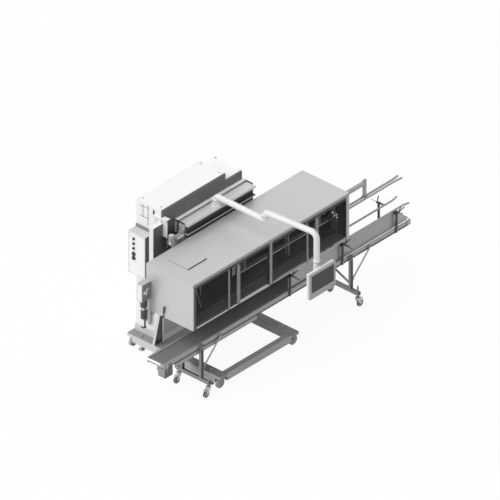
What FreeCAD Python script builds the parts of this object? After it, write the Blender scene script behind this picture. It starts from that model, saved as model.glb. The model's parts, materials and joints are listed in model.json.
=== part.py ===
"""Bag sealing machine: wheeled base frame, cabinet, sealing hood over a belt conveyor,
operator panel on a jointed arm. Millimetres, +X towards the infeed end, +Y to the rear, +Z up.

Pieces are laid out from the outer near-left corner of the base frame at floor level, and
the whole machine is then moved so that its origin is the middle of its footprint.
"""
import FreeCAD
import Part
import math
import os

Vec = FreeCAD.Vector
X_AXIS = Vec(1, 0, 0)
Y_AXIS = Vec(0, 1, 0)
Z_AXIS = Vec(0, 0, 1)

# Base frame
base_length = 1173
base_depth = 1254
rail_bottom = 76
rail_height = 84
side_rail_width = 110
front_rail_width = 67
rail_edge = 5
platform_depth = 390
foot_inset_x = 50
front_foot_y = 166
rear_foot_inset = 154
foot_pad_radius = 32
foot_screw_radius = 9
foot_nut_radius = 15
foot_nut_height = 14
wheel_recess_height = 49
wheel_recess_depth = 66

# Transport wheels in the base frame's corners
transport_wheel_radius = 55
transport_wheel_width = 32
transport_wheel_lift = 7
transport_wheel_inset = 45
transport_wheel_gap = 6
transport_axle_radius = 10
transport_hub_radius = 24

# Conveyor
conveyor_left = -680
conveyor_right = 2990
conveyor_setback = 173
conveyor_width = 226
belt_top = 572
belt_width = 186
belt_thickness = 4
side_rail_height = 62
side_rail_sheet = 6
side_rail_lip = 17
roller_radius = 26
roller_inset = 36
roller_overhang = 2
roller_shaft_radius = 8
bed_sheet = 4
bed_play = 0.3
bed_flange_height = 22
bed_flange_sheet = 3
deep_rail_left = -520
deep_rail_right = 700
deep_rail_depth = 44
nose_plate_height = 46
gearbox_inset = 18
gearbox_length = 122
gearbox_setback = 13
gearbox_depth = 88
gearbox_bottom = 392
gearbox_height = 108
gearbox_edge = 14
gear_motor_radius = 30
gear_motor_length = 44
hanger_sheet = 10

# Conveyor legs and casters
leg_left_x = -145
leg_right_x = 2083
post_width = 40
post_depth = 30
post_edge = 3
crossbar_size = 40
crossbar_bottom = 145
near_overhang = 130
far_overhang = 82
stem_inset = 20
stem_radius = 8
stem_collar_radius = 14
stem_collar_height = 11
stem_top_left = 197
stem_top_right = 250
brace_radius = 8
brace_low_z = 280
brace_reach = 290
brace_foot = 14
brace_lug = 12
brace_foot_half_width = 6
brace_foot_lift = 10
tie_high = 118
tie_low = 22
tie_sheet = 6
tie_inset = 3
caster_radius = 40
caster_width = 25
caster_trail = 32
caster_axle_radius = 5
caster_plate_top = 118
fork_sheet = 4
fork_gap = 2
crown_radius = 28
spigot_radius = 6
spigot_length = 14
spigot_drop = 12
bore_play = 0.06
pedal_length = 46
pedal_half_width = 14

# Bag guides
near_guide_offset = 90
guide_plate_left = 1190
guide_plate_right = 2773
guide_plate_bottom = 581
guide_rod_z = 765
guide_rod_radius = 10
guide_sheet = 5
guide_rod_left = 970
guide_rod_right = 2975
guide_flare_start = 2900
guide_flare = 16
guide_lead_in = 12
guide_lead_length = 70
rod_bend = 60
far_guide_offset = 46
strut_positions = (1186, 1969, 2773)
strut_width = 22
strut_top = 773
strut_bottom = 514
strut_depth = 14
near_stub_low = 40
near_stub_high = 18
far_stub_inset = 5
far_stub_half_height = 8
lever_hub_radius = 11
lever_hub_length = 22
lever_radius = 6
lever_rise = 58
lever_lean = 34
lever_root = 14
lever_splay = 12
thin_lever_radius = 4
thin_lever_splay = 10
handle_setback = 398
handle_lift = 7
handle_boss_length = 12
handle_root = 8
handle_shank = (4, 12, 50)
handle_grip = (4, 10, 80)
handle_grip_radius = 8
neck_rod_gap = 38
neck_rod_z = 1020
neck_rod_radius = 11
neck_rod_inset = 20
neck_flare = 9
neck_flare_start = 2875
neck_arm_z = 1198
neck_plate_left = 2430
neck_plate_right = 2470
neck_beam_half_width = 20
neck_beam_half_height = 17
neck_beam_edge = 4
yoke_overhang = 6
yoke_top = 22

# Hood
hood_left = -320
hood_right = 2010
hood_depth = 630
hood_bottom = 829
hood_top_z = 1369
hood_sheet = 4
hood_band = 33
end_flange = 48
floor_sheet = 3
floor_lip = 14
bay_post_x = 848
bay_post_width = 40
bay_post_depth = 31
slot_play = 18
slot_top = 1056
hatch_left = -135
hatch_right = 145
hatch_setback = 233
hatch_depth = 268
hatch_height = 12
hatch_edge = 4

# Guard doors
door_gap = 5
door_hinge_setback = 7
door_hinge_drop = 41
door_tube_radius = 7
door_pin_radius = 3
door_pin_length = 14
door_pane_thickness = 4
door_bottom_gap = 3
stile_depth = 8
stile_top_drop = 38
stile_strap = 3
narrow_stile_width = 25
wide_stile_width = 48
narrow_stile_offset = 538
wide_stile_offset = 679

# Sealing line inside the hood
carrier_size = 60
carrier_offset = 80
carrier_z = 1215
carrier_inset_left = 80
carrier_inset_right = 70
carrier_edge = 5
seal_rail_left = 570
seal_rail_inset = 30
seal_rail_radius = 10
seal_rail_rise = 9
seal_rail_turn_up = 60
seal_rail_slope = 40
seal_rail_end_rise = 130
seal_rail_bend = 40
hanger_half_depth = 4
hanger_width = 24
hanger_positions = (640, 1290, 1760)
roller_pair_positions = (1560, 1630, 1817, 1890)
neck_roller_radius = 22
neck_roller_height = 62
neck_roller_z = 1080
neck_roller_groove = 5
neck_roller_shaft_radius = 7

# Cabinet and what hangs on it
cabinet_left = 120
cabinet_right_inset = 96
cabinet_setback = 41
cabinet_rear_inset = 14
cabinet_top = 1700
door_panel = 14
door_border = 12
annex_overhang = 151
annex_top = 1620
annex_bottom = 700
plinth_height = 75
plinth_step = 20
body_setback = 8
body_right_inset = 113
body_top = 880
button_box_reach = 126
button_box_depth = 232
button_box_bottom = 895
button_box_top = 1384
button_offset = 151
small_button_z = (1317, 1260, 1204)
large_button_z = (1140, 1090)
small_button_radius = 15
large_button_radius = 21
column_reach = 150
column_setback = 31
column_depth = 56
column_bottom = 760
column_top = 1562
cheek_reach = 90
cheek_height = 320
cheek_flange = 46
cheek_top = 1620
cheek_sheet = 12
cheek_far_reach = 88
cheek_far_flange = 22
cheek_flange_sheet = 10
tray_left = 315
tray_length = 1010
tray_gap = 8
tray_depth = 176
tray_rise = 131
tray_sheet = 14
tray_recess = 42
tray_ledge_rise = 31
tray_ledge_sheet = 12
tray_groove = 6
tray_foot_drop = 40
tray_ledge_step = 5
tray_rim = 24
tray_rim_height = 14
beam_drop = 189

# Small units at the left end
gusset_setback = 22
gusset_thickness = 30
gusset_top = 480
gusset_top_x = 86
drive_box_length = 134
drive_box_depth = 75
drive_box_overhang = 10
drive_box_bottom = 987
drive_box_height = 200
drive_motor_radius = 34
drive_motor_drop = 90
foot_motor_radius = 30
foot_motor_bottom = 760
foot_motor_height = 110
drive_post_bottom = 650
air_unit_reach = 199
air_unit_z = 430
air_plate = 12
air_plate_height = 40
air_plate_near = 90
air_plate_far = 70
bowl_rise = 60
bowl_cap_height = 12
bowl_sink = 4
valve_offset = 48
valve_radius = 12
valve_drop = 30
valve_height = 96
valve_bar_half = 34
actuator_setback = 73
actuator_rise = 31
actuator_radius = 24
actuator_length = 120
actuator_reach = 160
actuator_bracket = 60
actuator_base_drop = 110
actuator_bracket_half = 20
actuator_bracket_rise = 40
actuator_rod_reach = 34
actuator_fork_half = 14
actuator_fork_length = 24
actuator_step = 10
actuator_post_width = 30
actuator_post_height = 40

# Operator panel arm
arm_pivot_x = 800
arm_setback = 63
first_arm_reach = 664
arm_tube_radius = 32
arm_height = 105
arm_rise = 95
swivel_radius = 43
swivel_flange_radius = 58
spigot_arm_radius = 12
spigot_arm_height = 30
spigot_arm_play = 2
collar_height = 14
collar_edge = 3
joint_step = 8
elbow_offset_x = 50
second_arm_reach = 647
elbow_radius = 70
drop_clearance = 52
panel_width = 381
panel_offset = 84
panel_depth = 46
panel_bottom = 1030
panel_height = 290
panel_bezel = 26
panel_chin = 10
coupling_radius = 34
stalk_radius = 22
screen_inset = 3
swivel_gap = 1
panel_edge = 5
stalk_lift = 120
panel_bracket_half = 60
panel_bracket_depth = 14
panel_bracket_drop = 10
panel_bracket_rise = 90


def block(x0, x1, y0, y1, z0, z1):
    return Part.makeBox(x1 - x0, y1 - y0, z1 - z0, Vec(x0, y0, z0))


def bar_between(start, end, radius):
    run = end - start
    return Part.makeCylinder(radius, run.Length, start, run)


def turned(profile, base, axis=Z_AXIS):
    """Solid turned from (radius, height) points round an axis through base."""
    points = [Vec(r, 0, h) for r, h in profile]
    points.append(points[0])
    face = Part.Face(Part.makePolygon(points))
    solid = face.revolve(Vec(0, 0, 0), Z_AXIS, 360)
    solid.Placement = FreeCAD.Placement(base, FreeCAD.Rotation(Z_AXIS, axis))
    return solid


def outline_yz(points, x0, x1):
    """Prism along X from (y, z) points."""
    corners = [Vec(x0, y, z) for y, z in points]
    corners.append(corners[0])
    return Part.Face(Part.makePolygon(corners)).extrude(Vec(x1 - x0, 0, 0))


def outline_xz(points, y0, y1):
    """Prism along Y from (x, z) points."""
    corners = [Vec(x, y0, z) for x, z in points]
    corners.append(corners[0])
    return Part.Face(Part.makePolygon(corners)).extrude(Vec(0, y1 - y0, 0))


def outline_xy(points, z0, z1):
    """Prism along Z from (x, y) points."""
    corners = [Vec(x, y, z0) for x, y in points]
    corners.append(corners[0])
    return Part.Face(Part.makePolygon(corners)).extrude(Vec(0, 0, z1 - z0))


def long_edges(shape, axis):
    """Straight edges of a shape that run along an axis."""
    found = []
    for edge in shape.Edges:
        direction = edge.Vertexes[-1].Point - edge.Vertexes[0].Point
        if direction.Length > 0 and direction.cross(axis).Length < 1e-6 * direction.Length:
            found.append(edge)
    return found


def softened(shape, axis, radius):
    return shape.makeFillet(radius, long_edges(shape, axis))


def fused(pieces):
    whole = pieces[0].multiFuse(pieces[1:]) if len(pieces) > 1 else pieces[0]
    return whole.removeSplitter()


def bent_rod(points, bends, radius):
    """Round rod along a path whose corners are tangent arcs, with one bend radius for each corner."""
    edges = []
    last = points[0]
    for before, corner, after, bend in zip(points, points[1:], points[2:], bends):
        back = (before - corner).normalize()
        ahead = (after - corner).normalize()
        half_turn = (math.pi - back.getAngle(ahead)) / 2
        setback = bend * math.tan(half_turn)
        start = corner + back * setback
        end = corner + ahead * setback
        to_centre = (back + ahead).normalize()
        middle = corner + to_centre * (bend / math.cos(half_turn) - bend)
        edges.append(Part.LineSegment(last, start).toShape())
        edges.append(Part.Arc(start, middle, end).toShape())
        last = end
    edges.append(Part.LineSegment(last, points[-1]).toShape())
    path = Part.Wire(edges)
    ring = Part.Wire(Part.makeCircle(radius, points[0], points[1] - points[0]))
    return path.makePipeShell([ring], True, False)


def mirrored_x(shape, plane_x):
    return shape.mirror(Vec(plane_x, 0, 0), X_AXIS)


# Base frame

rail_top = rail_bottom + rail_height
platform_front = base_depth - platform_depth
cabinet_front = platform_front + cabinet_setback
rear_foot_y = base_depth - rear_foot_inset
wheel_centre_z = transport_wheel_lift + transport_wheel_radius


def base_side_rail():
    """Left-hand rail with the recess and the stub axle of its front transport wheel."""
    rail = softened(block(0, side_rail_width, 0, platform_front, rail_bottom, rail_top), Y_AXIS, rail_edge)
    recess_top = rail_bottom + wheel_recess_height
    rail = rail.cut(block(-1, side_rail_width + 1, -1, wheel_recess_depth, rail_bottom - 1, recess_top))
    hole = Part.makeCylinder(foot_screw_radius, rail_height + 2, Vec(foot_inset_x, front_foot_y, rail_bottom - 1))
    rail = rail.cut(hole)
    return fused([rail, stub_axle(Vec(transport_wheel_inset, wheel_recess_depth, wheel_centre_z), Vec(0, -1, 0))])


def base_front_rail():
    rail = block(side_rail_width, base_length - side_rail_width, 0, front_rail_width, rail_bottom, rail_top)
    return softened(rail, X_AXIS, rail_edge)


def rear_platform():
    """Closed deck under the cabinet, with the rear wheels' recesses and stub axles."""
    deck = softened(block(0, base_length, platform_front, base_depth, rail_bottom, rail_top), Z_AXIS, rail_edge)
    recess_top = rail_bottom + wheel_recess_height
    inner_y = base_depth - wheel_recess_depth
    pieces = []
    for start, end, middle in corner_spans():
        deck = deck.cut(block(start, end, inner_y, base_depth + 1, rail_bottom - 1, recess_top))
        pieces.append(stub_axle(Vec(middle, inner_y, wheel_centre_z), Y_AXIS))
    for x in foot_columns():
        deck = deck.cut(Part.makeCylinder(foot_screw_radius, rail_height + 2, Vec(x, rear_foot_y, rail_bottom - 1)))
    return fused([deck] + pieces)


def corner_spans():
    """Recess start, recess end and wheel middle along X, at the left and the right corner."""
    left = (-1, side_rail_width, transport_wheel_inset)
    right = (base_length - side_rail_width, base_length + 1, base_length - transport_wheel_inset)
    return (left, right)


def foot_columns():
    return (foot_inset_x, base_length - foot_inset_x)


def stub_axle(seat, outward):
    """Axle with a shoulder at its seat and a retaining washer at its end."""
    shoulder = Part.makeCylinder(transport_axle_radius + 6, transport_wheel_gap - 1, seat, outward)
    shaft = Part.makeCylinder(transport_axle_radius, transport_wheel_gap + transport_wheel_width + 5, seat, outward)
    washer_seat = seat + outward * (transport_wheel_gap + transport_wheel_width + 1)
    washer = Part.makeCylinder(transport_axle_radius + 7, 4, washer_seat, outward)
    return fused([shoulder, shaft, washer])


def transport_wheel(x, seat_y, outward):
    r = transport_wheel_radius
    bore = transport_axle_radius + bore_play
    hub = transport_hub_radius
    w = transport_wheel_width
    profile = [(bore, 0), (hub, 0), (hub, 4), (r - 14, 4), (r - 10, 0), (r - 3, 0), (r, 3),
               (r, w - 3), (r - 3, w), (r - 10, w), (r - 14, w - 4), (hub, w - 4), (hub, w), (bore, w)]
    start = Vec(x, seat_y, wheel_centre_z) + outward * transport_wheel_gap
    return turned(profile, start, outward)


def levelling_feet():
    feet = []
    neck = foot_screw_radius - 0.5
    nut = foot_nut_radius
    for x in foot_columns():
        for y in (front_foot_y, rear_foot_y):
            pad = [(0, 0), (foot_pad_radius, 0), (foot_pad_radius, 6), (foot_pad_radius - 8, 12), (nut + 1, 18),
                   (neck, 20), (neck, rail_bottom - foot_nut_height), (nut, rail_bottom - foot_nut_height),
                   (nut, rail_bottom), (foot_screw_radius, rail_bottom), (foot_screw_radius, rail_top),
                   (nut, rail_top), (nut, rail_top + 8), (neck - 2, rail_top + 8),
                   (neck - 2, rail_top + 22), (0, rail_top + 22)]
            feet.append(turned(pad, Vec(x, y, 0)))
    return Part.makeCompound(feet)


# Conveyor

tray_near = cabinet_front - door_panel - tray_depth
hood_rear = tray_near - tray_gap
hood_front = hood_rear - hood_depth
conveyor_middle_y = hood_front + conveyor_setback
conveyor_near = conveyor_middle_y - conveyor_width / 2
conveyor_far = conveyor_middle_y + conveyor_width / 2
roller_z = belt_top - belt_thickness - roller_radius


def conveyor_rail_profile(outer_y, inward):
    """Folded side rail: web outside, narrow lip on top turned towards the belt."""
    bottom = belt_top - side_rail_height
    lip_y = outer_y + inward * side_rail_lip
    sheet_y = outer_y + inward * side_rail_sheet
    top = belt_top + side_rail_sheet / 2
    return [(outer_y, bottom), (sheet_y, bottom), (sheet_y, top - side_rail_sheet),
            (lip_y, top - side_rail_sheet), (lip_y, top), (outer_y, top)]


def conveyor_side_rails():
    """Both folded rails, each with its deeper web beside the legs, and the nose plate that joins
    them at the discharge end."""
    rails = []
    drop = belt_top - side_rail_height
    for outer_y, inward in ((conveyor_near, 1), (conveyor_far, -1)):
        rail = outline_yz(conveyor_rail_profile(outer_y, inward), conveyor_left, conveyor_right)
        inner_y = outer_y + inward * side_rail_sheet
        deep = block(deep_rail_left, deep_rail_right, min(outer_y, inner_y), max(outer_y, inner_y),
                     drop - deep_rail_depth, drop)
        rails.append(fused([rail, deep]))
    nose_top = belt_top + side_rail_sheet / 2
    nose = block(conveyor_left - side_rail_sheet, conveyor_left, conveyor_near, conveyor_far,
                 nose_top - nose_plate_height, nose_top)
    return fused(rails + [nose])


def conveyor_belt():
    """One closed loop round both end rollers."""
    near = conveyor_middle_y - belt_width / 2
    outer = belt_loop(roller_radius + belt_thickness, near, belt_width)
    inner = belt_loop(roller_radius, near - 1, belt_width + 2)
    return outer.cut(inner)


def belt_loop(radius, near, width):
    left = conveyor_left + roller_inset
    right = conveyor_right - roller_inset
    z = roller_z
    top = Part.LineSegment(Vec(left, near, z + radius), Vec(right, near, z + radius)).toShape()
    right_turn = Part.Arc(Vec(right, near, z + radius), Vec(right + radius, near, z), Vec(right, near, z - radius))
    low = Part.LineSegment(Vec(right, near, z - radius), Vec(left, near, z - radius)).toShape()
    left_turn = Part.Arc(Vec(left, near, z - radius), Vec(left - radius, near, z), Vec(left, near, z + radius))
    wire = Part.Wire([top, right_turn.toShape(), low, left_turn.toShape()])
    return Part.Face(wire).extrude(Vec(0, width, 0))


def conveyor_rollers():
    rollers = []
    for x in (conveyor_left + roller_inset, conveyor_right - roller_inset):
        near = conveyor_middle_y - belt_width / 2 - roller_overhang
        shell = Part.makeCylinder(roller_radius, belt_width + 2 * roller_overhang, Vec(x, near, roller_z), Y_AXIS)
        inner = conveyor_width - 2 * side_rail_sheet
        shaft = Part.makeCylinder(roller_shaft_radius, inner, Vec(x, conveyor_near + side_rail_sheet, roller_z), Y_AXIS)
        rollers.append(fused([shell, shaft]))
    return Part.makeCompound(rollers)


def conveyor_bed():
    """Slider deck under the upper run, carried by cross members between the side rails."""
    left = conveyor_left + 2 * roller_inset
    right = conveyor_right - 2 * roller_inset
    near = conveyor_near + side_rail_sheet
    far = conveyor_far - side_rail_sheet
    top = belt_top - belt_thickness
    low = top - bed_sheet
    foot = top - bed_flange_height
    deck = block(left, right, near, far, low, top - bed_play)
    flanges = [block(left, right, near, near + bed_flange_sheet, foot, low),
               block(left, right, far - bed_flange_sheet, far, foot, low)]
    return fused([deck] + flanges)


def drive_gearbox():
    """Gear motor hung on the near side rail at the discharge end, shaft into the end roller."""
    left = conveyor_left + gearbox_inset
    right = left + gearbox_length
    top = gearbox_bottom + gearbox_height
    near = conveyor_near + gearbox_setback
    far = near + gearbox_depth
    body = softened(block(left, right, near, far, gearbox_bottom, top), Y_AXIS, gearbox_edge)
    motor = Part.makeCylinder(gear_motor_radius, gear_motor_length,
                              Vec((left + right) / 2, far, (gearbox_bottom + top) / 2), Y_AXIS)
    plate_left = left + gearbox_inset
    plate_right = right - 2 * gearbox_inset
    plate_near = conveyor_near - hanger_sheet
    plate = block(plate_left, plate_right, plate_near, conveyor_near, top - 3 * hanger_sheet,
                  belt_top - side_rail_height / 3)
    shelf = block(plate_left, plate_right, plate_near, near + gearbox_edge, top - 3 * hanger_sheet, top)
    return fused([body, motor, plate, shelf])


# Conveyor legs

post_top = belt_top - 2
crossbar_top = crossbar_bottom + crossbar_size


def caster_columns():
    near = conveyor_near - near_overhang + stem_inset
    far = conveyor_far + far_overhang - stem_inset
    return (near, far)


def leg_frames():
    """Welded frames: two posts, the cross bar with its caster stems, and a sloping tie."""
    return Part.makeCompound([leg_frame(leg_left_x, stem_top_left), leg_frame(leg_right_x, stem_top_right)])


def leg_frame(x, stem_top):
    left, right = x - post_width / 2, x + post_width / 2
    bar = block(x - crossbar_size / 2, x + crossbar_size / 2, conveyor_near - near_overhang,
                conveyor_far + far_overhang, crossbar_bottom, crossbar_top)
    pieces = [softened(bar, Y_AXIS, post_edge)]
    for y in (conveyor_near - post_depth, conveyor_far):
        post = block(left, right, y, y + post_depth, crossbar_top - 1, post_top)
        pieces.append(softened(post, Z_AXIS, post_edge))
    for y in caster_columns():
        pieces.append(caster_stem(x, y, stem_top))
        pieces.append(caster_spigot(x, y))
    near, far = conveyor_near - 1, conveyor_far + 1
    low, high = crossbar_top + tie_low, crossbar_top + tie_high
    tie = [(near, low), (far, high), (far, high + post_depth), (near, low + post_depth)]
    pieces.append(outline_yz(tie, right - tie_sheet - tie_inset, right - tie_inset))
    return fused(pieces)


def caster_stem(x, y, top):
    collar_top = caster_plate_top + 1 + stem_collar_height
    profile = [(0, caster_plate_top + 1), (stem_collar_radius, caster_plate_top + 1), (stem_collar_radius, collar_top),
               (stem_radius, collar_top), (stem_radius, top), (0, top)]
    return turned(profile, Vec(x, y, 0))


def caster_spigot(x, y):
    """Pin under the stem on which the caster's fork turns."""
    return Part.makeCylinder(spigot_radius, spigot_length, Vec(x, y, caster_plate_top - spigot_drop))


def leg_braces():
    braces = []
    for x in (leg_left_x, leg_right_x):
        post_face = x + post_width / 2
        for y, side in ((conveyor_near - post_depth / 2, conveyor_near), (conveyor_far + post_depth / 2, conveyor_far)):
            low = Vec(post_face + brace_radius, y, brace_low_z)
            high = Vec(x + brace_reach, y, belt_top - side_rail_height / 2)
            rod = bar_between(low, high, brace_radius)
            foot = block(post_face, post_face + brace_foot, y - brace_foot_half_width, y + brace_foot_half_width,
                         brace_low_z - brace_foot, brace_low_z + brace_foot_lift)
            lug = block(high.x - brace_lug, high.x + brace_lug, min(y, side), max(y, side), high.z - brace_lug,
                        high.z + brace_lug)
            braces.append(fused([rod, foot, lug]))
    return Part.makeCompound(braces)


# Casters: built at the origin of their stem, trailing towards -X; the right leg's are turned round

def caster_fork():
    axle_x = -caster_trail
    top = caster_plate_top
    inner = caster_width / 2 + fork_gap
    outer = inner + fork_sheet
    bore = spigot_radius + bore_play
    neck = top - 14
    crown_profile = [(bore, neck), (crown_radius - 4, neck), (crown_radius, neck + 6), (crown_radius, top - 3),
                     (crown_radius - 6, top), (bore, top)]
    crown = turned(crown_profile, Vec(0, 0, 0))
    bridge = block(-26, 20, -outer, outer, neck - 12, neck)
    cheek_points = [(16, neck), (-26, neck), (axle_x - 12, caster_radius + 4), (axle_x - 8, caster_radius - 10),
                    (axle_x + 8, caster_radius - 10), (16, neck - 20)]
    cheeks = [outline_xz(cheek_points, inner, outer), outline_xz(cheek_points, -outer, -inner)]
    axle = Part.makeCylinder(caster_axle_radius, 2 * outer + 8, Vec(axle_x, -outer - 4, caster_radius), Y_AXIS)
    root = -20
    pedal = outline_xz([(root, neck - 6), (root - pedal_length + 4, neck - 20), (root - pedal_length, neck - 14),
                        (root, neck)], -pedal_half_width, pedal_half_width)
    wheel_room = Part.makeCylinder(caster_radius + 4, 2 * inner, Vec(axle_x, -inner, caster_radius), Y_AXIS)
    body = fused([crown, bridge.cut(wheel_room), pedal] + cheeks)
    return fused([body, axle])


def caster_wheel():
    r = caster_radius
    bore = caster_axle_radius + bore_play
    hub = 12
    w = caster_width
    profile = [(bore, 0), (hub, 0), (hub, 3), (r - 12, 3), (r - 9, 0), (r - 4, 0), (r, 4),
               (r, w - 4), (r - 4, w), (r - 9, w), (r - 12, w - 3), (hub, w - 3), (hub, w), (bore, w)]
    return turned(profile, Vec(-caster_trail, -w / 2, r), Y_AXIS)


# Bag guides

near_guide_y = conveyor_middle_y - near_guide_offset
far_guide_y = conveyor_middle_y + far_guide_offset
neck_rod_near_y = conveyor_middle_y
slot_near_y = neck_rod_near_y - slot_play
slot_far_y = neck_rod_near_y + neck_rod_gap + slot_play


def near_guide_plate():
    plate = block(guide_plate_left, guide_plate_right, near_guide_y - guide_sheet / 2,
                  near_guide_y + guide_sheet / 2, guide_plate_bottom, guide_rod_z)
    path = [Vec(guide_rod_left, near_guide_y + guide_lead_in, guide_rod_z),
            Vec(guide_rod_left + guide_lead_length, near_guide_y, guide_rod_z),
            Vec(guide_flare_start, near_guide_y, guide_rod_z),
            Vec(guide_rod_right, near_guide_y - guide_flare, guide_rod_z)]
    return fused([bent_rod(path, (rod_bend, rod_bend), guide_rod_radius), plate])


def guide_rods():
    """Far guide rod and the two rods that lead the bag necks into the hood."""
    far = bent_rod([Vec(guide_rod_left, far_guide_y, guide_rod_z), Vec(guide_flare_start, far_guide_y, guide_rod_z),
                    Vec(guide_rod_right, far_guide_y + guide_flare, guide_rod_z)], (rod_bend,), guide_rod_radius)
    rods = [far]
    for y, flare in ((neck_rod_near_y, -neck_flare), (neck_rod_near_y + neck_rod_gap, neck_flare)):
        path = [Vec(hood_right - neck_rod_inset, y, neck_rod_z), Vec(neck_flare_start, y, neck_rod_z),
                Vec(guide_rod_right, y + flare, neck_rod_z)]
        rods.append(bent_rod(path, (rod_bend,), neck_rod_radius))
    return Part.makeCompound(rods)


def guide_struts():
    """Upright flats on both side rails, each with a stub that holds its guide."""
    struts = []
    for x in strut_positions:
        left, right = x - strut_width / 2, x + strut_width / 2
        near = block(left, right, conveyor_near - strut_depth, conveyor_near, strut_bottom, strut_top)
        near_stub = block(left, right, conveyor_near, near_guide_y - guide_sheet / 2, guide_rod_z - near_stub_low,
                          guide_rod_z - near_stub_high)
        struts.append(fused([near, near_stub]))
        far = block(left, right, conveyor_far, conveyor_far + strut_depth, strut_bottom, strut_top)
        far_stub = block(left + far_stub_inset, right - far_stub_inset, far_guide_y + guide_rod_radius,
                         conveyor_far + 1, guide_rod_z - far_stub_half_height, guide_rod_z + far_stub_half_height)
        struts.append(fused([far, far_stub]))
    return Part.makeCompound(struts)


def clamp_levers():
    """Clamping levers of the guide struts and the lever on the hood's left end."""
    levers = []
    height = guide_rod_z - lever_radius
    for x in strut_positions:
        levers.append(clamp_lever(Vec(x, conveyor_near - strut_depth, height), -1))
        levers.append(clamp_lever(Vec(x, conveyor_far + strut_depth, height), 1))
    levers.append(hood_lever())
    return Part.makeCompound(levers)


def clamp_lever(seat, side):
    """Hub with the grip that swings up and the thin tommy bar below it."""
    hub = Part.makeCylinder(lever_hub_radius, lever_hub_length, seat, Vec(0, side, 0))
    root = seat + Vec(0, side * lever_root, 0)
    grip = bar_between(root, root + Vec(lever_lean, side * lever_splay, lever_rise), lever_radius)
    bar_end = root + Vec(lever_rise, side * thin_lever_splay, -lever_lean)
    thin = bar_between(root, bar_end, thin_lever_radius)
    knob = Part.makeSphere(lever_radius, bar_end)
    return fused([hub, grip, thin, knob])


def hood_lever():
    """Pivoted lever low on the outside of the hood's left end."""
    pivot = Vec(hood_left, hood_front + handle_setback, hood_bottom + handle_lift)
    boss = Part.makeCylinder(lever_hub_radius, handle_boss_length, pivot, Vec(-1, 0, 0))
    start = pivot - Vec(handle_root, 0, 0)
    outward, forward, up = handle_shank
    bend = start + Vec(-outward, -forward, up)
    shank = bar_between(start, bend, thin_lever_radius)
    outward, forward, up = handle_grip
    grip = bar_between(bend, bend + Vec(-outward, -forward, up), handle_grip_radius)
    return fused([boss, shank, grip, Part.makeSphere(lever_radius, bend)])


def neck_guide_arm():
    """Beam out of the hood's infeed end with the plate that carries the neck rods."""
    y = neck_rod_near_y + neck_rod_gap / 2
    wide, high = neck_beam_half_width, neck_beam_half_height
    wall = hood_right - hood_sheet
    beam = block(wall, neck_plate_right - wide, y - wide, y + wide, neck_arm_z - high, neck_arm_z + high)
    beam = softened(beam, X_AXIS, neck_beam_edge)
    beam_inside = block(hood_right - carrier_inset_right, wall, y - wide + 1, y + wide - 1,
                        neck_arm_z - high + 1, neck_arm_z + high - 1)
    plate = block(neck_plate_left, neck_plate_right, y - wide / 2, y + wide / 2, neck_rod_z + 20,
                  neck_arm_z + 2 * high + 4)
    yoke = block(neck_plate_left, neck_plate_right, neck_rod_near_y - yoke_overhang,
                 neck_rod_near_y + neck_rod_gap + yoke_overhang, neck_rod_z + neck_rod_radius, neck_rod_z + yoke_top)
    return fused([beam, beam_inside, plate, yoke])


# Hood

door_hinge_y = hood_front + door_hinge_setback
door_hinge_z = hood_top_z - door_hinge_drop


def hood_top():
    plate = block(hood_left, hood_right, hood_front, hood_rear, hood_top_z - hood_sheet, hood_top_z)
    band = block(hood_left, hood_right, hood_front, hood_front + hood_sheet, hood_top_z - hood_band, hood_top_z)
    rear = block(hood_left, hood_right, hood_rear - hood_sheet, hood_rear, hood_top_z - hood_band, hood_top_z)
    return fused([plate, band, rear])


def hood_end(x_outer, inward):
    """End wall with a front flange that the guard door closes against."""
    x_inner = x_outer + inward * hood_sheet
    x_flange = x_outer + inward * end_flange
    x_lug = x_flange - inward * 2 * door_pin_length
    top = hood_top_z - hood_sheet
    wall = block(min(x_outer, x_inner), max(x_outer, x_inner), hood_front + hood_sheet, hood_rear - hood_sheet,
                 hood_bottom, top)
    flange = block(min(x_outer, x_flange), max(x_outer, x_flange), hood_front, hood_front + hood_sheet,
                   hood_bottom, hood_top_z - hood_band)
    lug = block(min(x_lug, x_flange), max(x_lug, x_flange), hood_front + hood_sheet, door_hinge_y + 6,
                door_hinge_z - 6, hood_top_z - hood_band)
    pin = Part.makeCylinder(door_pin_radius, door_gap + door_pin_length, Vec(x_flange, door_hinge_y, door_hinge_z),
                            Vec(inward, 0, 0))
    return fused([wall, flange, lug, pin])


def hood_right_end():
    wall = hood_end(hood_right, -1)
    inside, outside = hood_right - 2 * hood_sheet, hood_right + 1
    slot = block(inside, outside, slot_near_y, slot_far_y, hood_bottom - 1, slot_top)
    middle = neck_rod_near_y + neck_rod_gap / 2
    wide, high = neck_beam_half_width, neck_beam_half_height
    window = block(inside, outside, middle - wide, middle + wide, neck_arm_z - high, neck_arm_z + high)
    return wall.cut(slot).cut(window)


def hood_rear_wall():
    return block(hood_left, hood_right, hood_rear - hood_sheet, hood_rear, hood_bottom, hood_top_z - hood_band)


def hood_floor():
    """Floor sheets on either side of the neck slot, lipped along the slot."""
    left = hood_left + hood_sheet
    right = hood_right - hood_sheet
    top = hood_bottom + floor_sheet
    near_edge = hood_front + hood_sheet + bay_post_depth
    near_sheet = block(left, right, near_edge, slot_near_y, hood_bottom, top)
    near_lip = block(left, right, slot_near_y - floor_sheet, slot_near_y, hood_bottom, hood_bottom + floor_lip)
    far_sheet = block(left, right, slot_far_y, hood_rear - hood_sheet, hood_bottom, top)
    far_lip = block(left, right, slot_far_y, slot_far_y + floor_sheet, hood_bottom, hood_bottom + floor_lip)
    return Part.makeCompound([fused([near_sheet, near_lip]), fused([far_sheet, far_lip])])


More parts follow.
